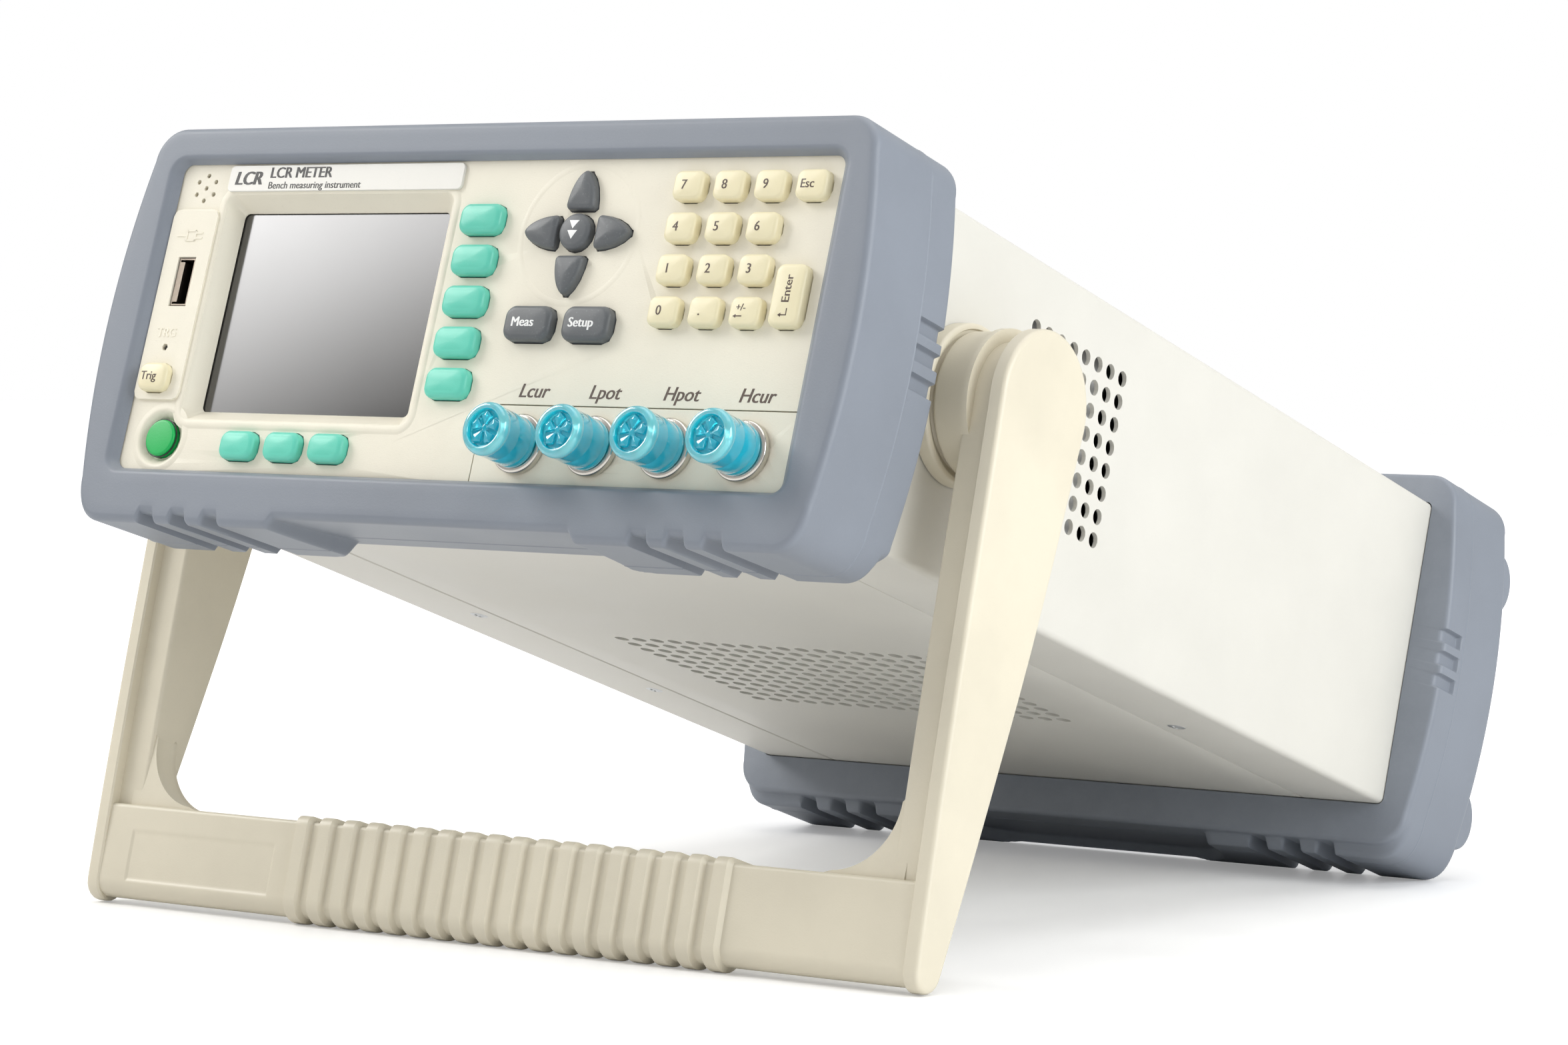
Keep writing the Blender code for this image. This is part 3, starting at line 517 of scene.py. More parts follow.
@dataclass(frozen=True)
class Finish:
    """A moulded, painted or plated finish: colour, gloss, grain and how it has aged."""

    name: str
    colour: tuple[float, float, float]
    rough: float
    metal: float = 0.0
    coat: float = 0.0
    cloud: float = 0.10          # how far the tone drifts, as a share of the colour
    speck: float = 0.25          # how strongly the specks show
    speck_tone: float = 0.75     # brightness of a speck against the colour
    grain: float = 2500.0
    relief: float = 0.00006      # metres
    wear: float = 0.25
    worn: float = 1.25           # brightness of a rubbed edge against the colour
    dust: float = 0.06
    see_through: float = 0.0
    refraction: float = 1.5
    under_skin: float = 0.0      # light that travels under the surface

    def shade(self, factor: float) -> tuple[float, float, float, float]:
        """The colour made lighter or darker."""
        return (*(min(1.0, part * factor) for part in self.colour), 1.0)

    def material(self) -> bpy.types.Material:
        """The finish as a material, made once."""
        if self.name in bpy.data.materials and "finish" in bpy.data.materials[self.name]:
            return bpy.data.materials[self.name]
        made = bpy.data.materials.new(self.name)
        made.name = self.name
        made["finish"] = self.name
        made.use_nodes = True
        lay = Layout(made.node_tree)
        shader = made.node_tree.nodes["Principled BSDF"]
        for label, value in (("Metallic", self.metal), ("Coat Weight", self.coat),
                             ("Coat Roughness", 0.08), ("IOR", self.refraction),
                             ("Transmission Weight", self.see_through),
                             ("Subsurface Weight", self.under_skin)):
            shader.inputs[label].default_value = value
        shader.inputs["Subsurface Radius"].default_value = (0.002, 0.002, 0.002)
        grain = lay.add("Group", node_tree=moulded_grain())
        grain.inputs["Scale"].default_value = self.grain
        wear = lay.add("Group", node_tree=handling_wear())
        dust = lay.add("Group", node_tree=settled_dust())
        tone = lay.mix(grain.outputs["Cloud"], self.shade(1.0 - self.cloud),
                       self.shade(1.0 + self.cloud * 0.6))
        tone = lay.mix(lay.math("MULTIPLY", grain.outputs["Speck"], self.speck), tone,
                       self.shade(self.speck_tone))
        tone = lay.mix(lay.math("MULTIPLY", wear.outputs["Edge"], self.wear), tone,
                       self.shade(self.worn))
        tone = lay.mix(lay.math("MULTIPLY", wear.outputs["Scratch"], self.wear * 0.4), tone,
                       self.shade(self.worn * 0.9))
        tone = lay.mix(lay.math("MULTIPLY", dust.outputs["Dust"], self.dust), tone,
                       (0.62, 0.59, 0.54, 1.0))
        rough = lay.ramp(grain.outputs["Cloud"], 0.0, 1.0, self.rough * 0.9, self.rough * 1.1)
        rough = lay.math("ADD", rough, lay.math("MULTIPLY", dust.outputs["Dust"], self.dust))
        rough = lay.math("SUBTRACT", rough, lay.math("MULTIPLY", wear.outputs["Edge"],
                                                     self.wear * 0.3))
        bump = lay.add("Bump", {"Strength": 0.6, "Distance": self.relief,
                                "Height": grain.outputs["Height"]})
        for socket, name in ((tone, "Base Color"), (rough, "Roughness"), (bump.outputs[0], "Normal")):
            made.node_tree.links.new(socket, shader.inputs[name])
        return made


BUMPER_RUBBER = Finish("bumper_rubber_finish", (0.212, 0.234, 0.272), 0.46, cloud=0.06, speck=0.12,
                       speck_tone=1.2, grain=1900.0, relief=0.00004, wear=0.35, worn=1.4, dust=0.10)
CASE_PAINT = Finish("case_paint_finish", (0.665, 0.647, 0.590), 0.42, cloud=0.03, speck=0.10,
                    speck_tone=0.9, grain=1400.0, relief=0.00005, wear=0.10, worn=1.1, dust=0.10)
PANEL_PLASTIC = Finish("panel_plastic_finish", (0.80, 0.755, 0.63), 0.50, cloud=0.05, speck=0.16,
                       speck_tone=0.82, grain=2600.0, relief=0.00005, wear=0.15, worn=1.12)
HANDLE_PLASTIC = Finish("handle_plastic_finish", (0.685, 0.63, 0.50), 0.40, cloud=0.06, speck=0.12,
                        speck_tone=0.85, grain=2200.0, relief=0.00004, wear=0.22, worn=1.15, dust=0.08)
LABEL_PLASTIC = Finish("label_plastic_finish", (0.70, 0.685, 0.635), 0.34, cloud=0.03, speck=0.08,
                       grain=1800.0, relief=0.00002, wear=0.05, coat=0.15)
SOFTKEY_RUBBER = Finish("softkey_finish", (0.13, 0.60, 0.46), 0.36, cloud=0.07, speck=0.10,
                        speck_tone=1.2, grain=2400.0, relief=0.00003, wear=0.20, worn=1.3,
                        under_skin=0.25)
GREY_RUBBER = Finish("grey_key_finish", (0.105, 0.112, 0.118), 0.42, cloud=0.08, speck=0.22,
                     speck_tone=2.4, grain=2400.0, relief=0.00003, wear=0.25, worn=1.6)
CREAM_RUBBER = Finish("cream_key_finish", (0.80, 0.73, 0.50), 0.36, cloud=0.05, speck=0.08,
                      grain=2400.0, relief=0.00003, wear=0.15, worn=1.12, under_skin=0.25)
GREEN_RUBBER = Finish("power_button_finish", (0.0, 0.44, 0.09), 0.34, cloud=0.08, speck=0.10,
                      speck_tone=1.5, grain=2000.0, relief=0.00004, wear=0.20, worn=1.6,
                      under_skin=0.15)
CAP_PLASTIC = Finish("cap_plastic_finish", (0.01, 0.66, 0.86), 0.05, cloud=0.05, speck=0.0,
                     grain=900.0, relief=0.0, wear=0.10, worn=1.3, dust=0.0, see_through=0.50,
                     refraction=1.5, coat=1.0, under_skin=0.2)
# A lighter copy of the cap plastic for the rim: a painted highlight.
CAP_RIM_HIGHLIGHT = Finish("cap_rim_highlight_finish", (0.28, 0.88, 0.97), 0.04, cloud=0.05, speck=0.0, grain=900.0,
                 relief=0.0, wear=0.10, worn=1.2, dust=0.0, see_through=0.55, refraction=1.5,
                 coat=1.0, under_skin=0.2)
PORT_SHELL = Finish("port_shell_finish", (0.20, 0.17, 0.14), 0.35, metal=1.0, cloud=0.15, speck=0.2,
                    grain=1100.0, relief=0.00003, wear=0.3)
NICKEL = Finish("nickel_finish", (0.62, 0.59, 0.54), 0.22, metal=1.0, cloud=0.12, speck=0.10,
                grain=1500.0, relief=0.00001, wear=0.30, worn=1.2, dust=0.02)
PLATED_STEEL = Finish("plated_steel_finish", (0.56, 0.57, 0.58), 0.34, metal=1.0, cloud=0.15,
                      speck=0.25, speck_tone=0.7, grain=1100.0, relief=0.00003, wear=0.3)
BLACK_PLASTIC = Finish("black_plastic_finish", (0.022, 0.022, 0.025), 0.42, cloud=0.12, speck=0.20,
                       speck_tone=2.0, grain=1800.0, relief=0.00004, wear=0.3, worn=2.5)
BOARD_GREEN = Finish("circuit_board_finish", (0.03, 0.17, 0.08), 0.35, cloud=0.2, speck=0.6,
                     speck_tone=2.4, grain=700.0, relief=0.00006, coat=0.3)
INNER_SHEET = Finish("inner_sheet_finish", (0.55, 0.55, 0.53), 0.45, cloud=0.08, speck=0.15,
                     grain=900.0, relief=0.00003)
BROWN_INK = Finish("brown_ink_finish", (0.075, 0.045, 0.03), 0.45, cloud=0.15, speck=0.10,
                   speck_tone=2.0, relief=0.00001, wear=0.2, worn=2.0, dust=0.0)
BLACK_INK = Finish("black_ink_finish", (0.03, 0.028, 0.027), 0.42, cloud=0.15, speck=0.10,
                   speck_tone=2.0, relief=0.00001, wear=0.2, worn=2.0, dust=0.0)
WHITE_INK = Finish("white_ink_finish", (0.80, 0.80, 0.79), 0.45, cloud=0.08, speck=0.06,
                   relief=0.00001, wear=0.1, dust=0.0)
SCREEN_GLASS = Finish("screen_finish", (0.034, 0.033, 0.031), 0.12, cloud=0.05, speck=0.0,
                      grain=300.0, relief=0.0, wear=0.0, dust=0.01, coat=0.6, refraction=1.75)


# ---------------------------------------------------------------- bumpers

@dataclass
class Bumper:
    """A moulded rubber ring round one end of the case, with two pads under it.

    t runs from the open edge, which faces the handle, to the face.
    """

    node: str
    open_edge: float
    face: float
    throat: tuple[float, float, float]       # half-width, half-height and corner at the panel
    mouth: tuple[float, float, float]        # the same where the opening meets the face
    panel_y: float
    groove_heights: tuple[float, ...]
    groove_reach: float
    pad_front: float
    pad_back: float
    feet: tuple[float, ...] = ()
    top: float = 52.6
    bottom: float = -55.5
    half_width: float = 119.2
    bow: float = 4.2
    waist: float = -3.0
    climb: float = 0.0           # how far the underside rises towards the open edge
    corner: float = 9.0
    edge: float = 2.7
    open_round: float = 1.5
    lip_round: float = 0.9
    flash_line: float = 11.5     # distance of the raised parting line from the open edge
    pad_drop: float = 3.5
    pad_slope: float = 2.2
    pad_bend: float = 4.0        # radius of a pad's inner corner at the open edge
    pad_curve: tuple[float, float] = (30.0, 19.0)
    pad_grooves: tuple[float, ...] = (68.0, 79.0, 90.0)
    pad_groove: float = 6.0
    groove: float = 4.0
    groove_depth: float = 1.6
    cavity: tuple[float, float, float] = (107.8, 44.3, 2.0)
    foot_radius: float = 9.0
    counts: tuple[int, int, int, int] = (230, 12, 48, 40)    # half bottom, corner, side, half top

    def half_loop(self, bottom_end: Array, side: Array, top_end: Array, lower: Array,
                  upper: Array) -> Array:
        """Put together the right half of a loop from its stretches and mirror it to the left."""
        flat, _, _, crest = self.counts
        floor = np.linspace((0.0, bottom_end[1]), bottom_end, flat, endpoint=False)
        roof = np.linspace(top_end, (0.0, top_end[1]), crest + 1)[1:]
        right = np.concatenate((floor, lower, side[1:-1], upper, roof))
        return np.concatenate((right, right[1:-1][::-1] * (-1.0, 1.0)))

    def outer_loop(self) -> Array:
        """The outer outline: flat top and bottom, bowed sides and round corners."""
        bend = self.counts[1]
        radius = self.corner
        height = self.bottom + radius + self.side_shares() * (self.top - self.bottom - 2 * radius)
        span = self.top - radius - self.waist
        width = self.half_width - self.bow * ((height - self.waist) / span) ** 2
        lower = arc(width[0] - radius, height[0], radius, -90, 0, bend)
        upper = arc(width[-1] - radius, height[-1], radius, 0, 90, bend)
        return self.half_loop(lower[0], np.stack((width, height), 1), upper[-1], lower, upper)

    def opening(self, half_width: float, half_height: float, radius: float) -> Array:
        """A rounded rectangle with its points shared out as on the outer loop."""
        bend = self.counts[1]
        height = radius - half_height + self.side_shares() * 2 * (half_height - radius)
        lower = arc(half_width - radius, height[0], radius, -90, 0, bend)
        upper = arc(half_width - radius, height[-1], radius, 0, 90, bend)
        side = np.stack((np.full(len(height), half_width), height), 1)
        return self.half_loop(lower[0], side, upper[-1], lower, upper)

    def pad_share(self, x: Array, y: Array) -> Array:
        """How much of a pad's drop there is at (x, y), from 0 to 1.

        A pad's inner edge is a quarter ellipse that opens towards the rear. The height rises with the
        distance from it and from the open edge, round their shared corner, and three grooves take it
        away again.

        Args:
            x: places across.
            y: places along the depth.

        Returns:
            The share at each place.
        """
        aside = np.abs(x)
        start, reach = self.pad_curve
        depth = self.pad_back - self.pad_front
        u = np.maximum(aside - start, 0.0) / reach
        v = np.clip((y - self.pad_front) / depth, 0.0, 1.2)
        slope = 2.0 * np.sqrt((u / reach) ** 2 + (v / depth) ** 2) + 1e-6
        inner = (u * u + v * v - 1.0) / slope
        tail = y - self.pad_front if self.face > self.open_edge else self.pad_back - y
        bend = self.pad_bend
        away = bend - np.hypot(np.maximum(bend - inner, 0.0), np.maximum(bend - tail, 0.0))
        rise = smooth_step(away / self.pad_slope + 0.1)
        for across in self.pad_grooves:
            cut = smooth_step((self.pad_groove / 2 + 0.2 - np.abs(aside - across)) / 1.0)
            rise = rise * (1.0 - cut)
        return rise

    def groove_cut(self, height: Array, t: Array) -> Array:
        """How deep the finger grooves on the side are at a height and a distance from the open edge."""
        deep = np.zeros(np.broadcast(height, t).shape)
        for middle in self.groove_heights:
            deep = np.maximum(deep, smooth_step((self.groove / 2 - np.abs(height - middle)) / 0.7 + 0.3))
        return self.groove_depth * deep * smooth_step((self.groove_reach - t) / 1.2)

    def side_shares(self) -> Array:
        """Where the lines along a side lie, as shares of its height: close together at the grooves."""
        low, high = self.bottom + self.corner, self.top - self.corner
        flank = np.array((-0.75, -0.5, -0.25, 0.0, 0.25, 0.5, 0.75))
        near = [middle + way * (self.groove / 2 + flank - 0.1)
                for middle in self.groove_heights for way in (-1, 1)]
        height = np.unique(np.round(np.concatenate((np.linspace(low, high, self.counts[2]), *near)), 2))
        return (height - low) / (high - low)

    def outside(self) -> Array:
        """The outer skin, rows from the open edge to the face's rim."""
        loop = self.outer_loop()
        normal = outward(loop)
        length = abs(self.face - self.open_edge)
        way = 1.0 if self.face > self.open_edge else -1.0
        near = np.linspace(0.0, pi / 2, 5)
        reach = self.groove_reach
        lines = np.concatenate((np.linspace(self.open_round, length - self.edge, 46)[1:-1],
                                self.flash_line + np.array((-0.35, -0.15, 0.0, 0.15, 0.35)),
                                reach - np.array((1.3, 1.0, 0.7, 0.4, 0.1))))
        lines = np.unique(np.round(lines, 2))
        t = np.concatenate((self.open_round * (1 - np.cos(near)), lines,
                            length - self.edge + self.edge * np.sin(np.linspace(0, pi / 2, 8))))
        inset = np.concatenate((self.open_round * (1 - np.sin(near)), np.zeros(len(lines)),
                                self.edge * (1 - np.cos(np.linspace(0, pi / 2, 8)))))
        inset = inset - 0.14 * np.maximum(0.0, 1.0 - np.abs(t - self.flash_line) / 0.34)
        skin = loop[None] - normal[None] * inset[:, None, None]
        y = self.open_edge + way * t
        cut = self.groove_cut(loop[None, :, 1], t[:, None])
        cut = cut * (np.abs(normal[None, :, 0]) > 0.9)
        skin = skin - normal[None] * cut[..., None]
        away = self.climb * (1.0 - t / length)[:, None]
        share = self.pad_share(loop[None, :, 0], y[:, None])
        under = smooth_step((self.bottom + self.corner - loop[:, 1]) / self.corner)
        skin[..., 1] += (away - share * (self.pad_drop + 0.6 * away)) * under[None]
        return along_y(skin, y[:, None])

    def build(self) -> bpy.types.Object:
        """Build the ring and, at the rear, its feet."""
        piece = Moulding(self.node + "_skin")
        skin = self.outside()
        rim = skin[-1]
        wide = (self.mouth[0] + self.lip_round, self.mouth[1] + self.lip_round,
                self.mouth[2] + self.lip_round)
        outer = along_y(self.opening(*wide), self.face)
        knee = along_y(self.opening(*self.mouth), self.face)
        throat = along_y(self.opening(*self.throat), self.panel_y)
        inner = knee + (throat - knee) * 0.35
        share = np.linspace(0.0, 1.0, 7)[:, None, None]
        face = rim + (outer - rim) * np.linspace(0.0, 1.0, 5)[1:-1, None, None]
        bend = (1 - share) ** 2 * outer + 2 * share * (1 - share) * knee + share ** 2 * inner
        hollow = along_y(self.opening(*self.cavity), self.panel_y)
        pocket = along_y(self.opening(*self.cavity), self.open_edge)
        rows = np.concatenate((skin, face, bend, throat[None], hollow[None], pocket[None]))
        piece.grid(rows, wrap_rows=True, wrap_columns=True)
        for side in (1, -1):
            for height in self.feet:
                self.foot(piece, side, height)
        return piece.make("case", (BUMPER_RUBBER,), (self.node,), sharp=50.0)

    def foot(self, piece: Moulding, side: int, height: float) -> None:
        """One half-round foot: a disc's edge with rounded rims, standing off the face.

        Args:
            piece: the piece that takes the foot.
            side: 1 on the right, -1 on the left.
            height: the z of its middle.
        """
        radius = self.foot_radius
        middle = side * 110.0
        outline = np.concatenate((arc(0.0, 0.0, radius, -90, 90, 24),
                                  np.array(((-3.0, radius), (-3.0, -radius)))))
        rings = []
        for across, inset in ((-4.0, 1.0), (-3.7, 0.3), (-3.0, 0.0), (3.0, 0.0), (3.7, 0.3), (4.0, 1.0)):
            share = 1.0 - inset / radius
            rings.append(np.stack((np.full(len(outline), middle + across),
                                   self.face + outline[:, 0] * share,
                                   height + outline[:, 1] * share), axis=1))
        piece.solid(np.array(rings))


# ---------------------------------------------------------------- case

@dataclass
class Case:
    """The folded sheet covers with their round vents, the screws and the sheet behind the vents."""

    half_width: float = 107.5
    half_height: float = 44.0
    corner: float = 1.8
    sheet: float = 1.2
    front: float = 5.6
    rear: float = 328.7
    flange: float = 81.8
    tray_edge: float = 81.5
    tray_lip: float = 105.5
    vent_pitch: float = 6.1
    vent_radius: float = 2.05
    side_vents: tuple[float, float] = (86.8, -15.5)      # first column's y, lowest row's z
    side_count: tuple[int, int] = (8, 8)                 # columns, rows
    bottom_vents_y: float = 150.3
    bottom_count: tuple[int, int] = (18, 12)             # across, along
    screw_x: float = 88.5
    screw_rows: tuple[float, ...] = (132.0, 216.0)

    def vent_stations(self, first: float, count: int) -> Array:
        """The places of the edges of a row of vent tiles, each tile in quarters."""
        start = first - self.vent_pitch / 2
        return start + self.vent_pitch * np.arange(4 * count + 1) / 4

    def along(self, first: float, count: int) -> Array:
        """Stations from the front to the rear edge, with a run of vent tiles in them."""
        tiles = self.vent_stations(first, count)
        ahead = np.linspace(self.front, tiles[0], 9)[:-1]
        behind = np.linspace(tiles[-1], self.rear, 25)[1:]
        return np.concatenate((ahead, tiles, behind))

    def folded_sheet(self, piece: Moulding, path: Array, along: Array,
                     tiles: Sequence[tuple[int, int]]) -> None:
        """A folded sheet of even thickness with round vents.

        The path in (x, z) is carried along Y. The inner skin is the path moved inwards by the sheet's
        thickness. In each vent tile of 4 by 4 faces the faces give way to a ring between the tile's 16
        edge points and the circle that they point at, on both skins, with a wall between.

        Args:
            piece: the piece that takes the sheet.
            path: the outer skin's outline, clockwise seen from the front so that its right is outside.
            along: the stations along Y.
            tiles: the (path, station) number of each vent tile's first corner.
        """
        normal = outward(path, closed=False)
        skins = []
        for depth in (0.0, self.sheet):
            inner = path - normal * depth
            skins.append(along_y(np.repeat(inner[:, None], len(along), 1), along[None]))
        keep = np.ones((len(path) - 1, len(along) - 1), bool)
        step = np.arange(4)
        ring = np.concatenate((np.stack((step * 0, step), 1), np.stack((step, step * 0 + 4), 1),
                               np.stack((step * 0 + 4, 4 - step), 1), np.stack((4 - step, step * 0), 1)))
        for row, column in tiles:
            keep[row:row + 4, column:column + 4] = False
        for skin in skins:
            piece.grid(skin, keep=keep)
        if tiles:
            corner = np.array(tiles)[:, None] + ring[None]
            edges, circles = [], []
            for skin in skins:
                edge = skin[corner[..., 0], corner[..., 1]]
                middle = edge.mean(axis=1, keepdims=True)
                spoke = edge - middle
                spoke /= np.linalg.norm(spoke, axis=-1, keepdims=True)
                edges.append(edge)
                circles.append(middle + spoke * self.vent_radius)
            for first, second in ((edges[0], circles[0]), (circles[0], circles[1]),
                                  (circles[1], edges[1])):
                piece.quads(np.stack((first, np.roll(first, -1, 1), np.roll(second, -1, 1), second), 2))
        for end in (0, -1):
            piece.grid(np.stack((skins[0][end], skins[1][end])))
            piece.grid(np.stack((skins[0][:, end], skins[1][:, end])))

    def top_path(self) -> tuple[Array, int, int]:
        """The top cover's outline from flange to flange, and where each side's vent tiles start."""
        width, height, corner = self.half_width, self.half_height, self.corner
        tiles = self.vent_stations(self.side_vents[1], self.side_count[1])
        wall = np.concatenate(((corner - height + 6.0,), tiles, (height - corner - 6.0,)))
        side = np.stack((np.full(len(wall), width), wall), axis=1)
        flange = np.array(((self.flange, 0.5 - height), (self.flange + 0.5, -height)))
        right = np.concatenate((flange, arc(width - corner, corner - height, corner, -90, 0, 6), side,
                                arc(width - corner, height - corner, corner, 0, 90, 6)))
        first = len(flange) + 7 + 1
        whole = np.concatenate((right, right[::-1] * (-1.0, 1.0)))
        return whole, first, len(whole) - 1 - first - 4 * self.side_count[1]

    def top_cover(self) -> bpy.types.Object:
        """Top, sides and flanges, with a block of round vents in each side."""
        path, right, left = self.top_path()
        along = self.along(self.side_vents[0], self.side_count[0])
        columns, rows = self.side_count
        tiles = [(start + 4 * row, 8 + 4 * column)
                 for start in (right, left) for row in range(rows) for column in range(columns)]
        piece = Moulding("top_cover_sheet")
        self.folded_sheet(piece, path, along, tiles)
        return piece.make("case", (CASE_PAINT,), ("top_cover",))

    def bottom_cover(self) -> bpy.types.Object:
        """The tray between the flanges, with its round vents and a joggled lip on each side."""
        low = -self.half_height
        lip = low + self.sheet + 0.3
        edge = self.tray_edge
        vents = self.vent_stations(-self.vent_pitch * (self.bottom_count[0] - 1) / 2,
                                   self.bottom_count[0])
        left = np.array(((-self.tray_lip, lip), (-edge - 0.1, lip), (-edge, lip - 0.1),
                         (-edge, low + 0.5), (-edge + 0.15, low + 0.15), (-edge + 0.5, low),
                         (-70.0, low)))
        floor = np.stack((vents, np.full(len(vents), low)), axis=1)
        path = np.concatenate((left, floor, left[::-1] * (-1.0, 1.0)))
        along = self.along(self.bottom_vents_y, self.bottom_count[1])
        tiles = [(len(left) + 4 * across, 8 + 4 * row)
                 for across in range(self.bottom_count[0]) for row in range(self.bottom_count[1])]
        piece = Moulding("bottom_cover_sheet")
        self.folded_sheet(piece, path, along, tiles)
        return piece.make("case", (CASE_PAINT,), ("bottom_cover",))

    def vent_backing(self) -> bpy.types.Object:
        """Plain sheet rails inside the covers, a little way behind the side vents."""
        piece = Moulding("vent_backing")
        for side in (1, -1):
            outline = soft_box(-24.0, 36.0, 0.0, 1.0, 0.4, 2)[:, ::-1]
            rings = [np.stack((side * (102.4 - outline[:, 0]), np.full(len(outline), y), outline[:, 1]), 1)
                     for y in np.linspace(78.0, 126.5, 4)]
            piece.solid(np.array(rings))
        return piece.make("case", (INNER_SHEET,))

    def screws(self) -> bpy.types.Object:
        """Countersunk screws in the flanges: a domed head with a cross cut into it.

        The head's height over (r, a) is a shallow dome less the cross, which is deep where either
        distance from a cross arm's line is small.
        """
        piece = Moulding("case_screws")
        radius = np.concatenate((np.linspace(0.0, 1.9, 16), (2.2, 2.5, 2.6)))[:, None]
        turn = np.linspace(0.0, 2 * pi, 64, endpoint=False)[None]
        x, y = radius * np.cos(turn), radius * np.sin(turn)
        dome = 0.35 * (1 - (radius / 2.6) ** 2) + 0 * turn
        arm = np.minimum(np.abs(x), np.abs(y))
        cross = 0.55 * smooth_step((0.42 - arm) / 0.2) * smooth_step((1.7 - radius) / 0.3)
        height = dome - cross
        height[-1] = -0.4
        for side in (1, -1):
            for row in self.screw_rows:
                piece.grid(np.stack((side * self.screw_x + x, row + y, -self.half_height - height), -1),
                           wrap_columns=True)
                ring = np.stack((side * self.screw_x + x[-1], row + y[-1],
                                 np.full(64, 0.4 - self.half_height)), -1)
                piece.shape(ring, [list(range(64))])
        return piece.make("case", (PLATED_STEEL,))

    def build(self) -> None:
        """Build every piece of the case."""
        self.top_cover()
        self.bottom_cover()
        self.vent_backing()
        self.screws()


# ---------------------------------------------------------------- handle

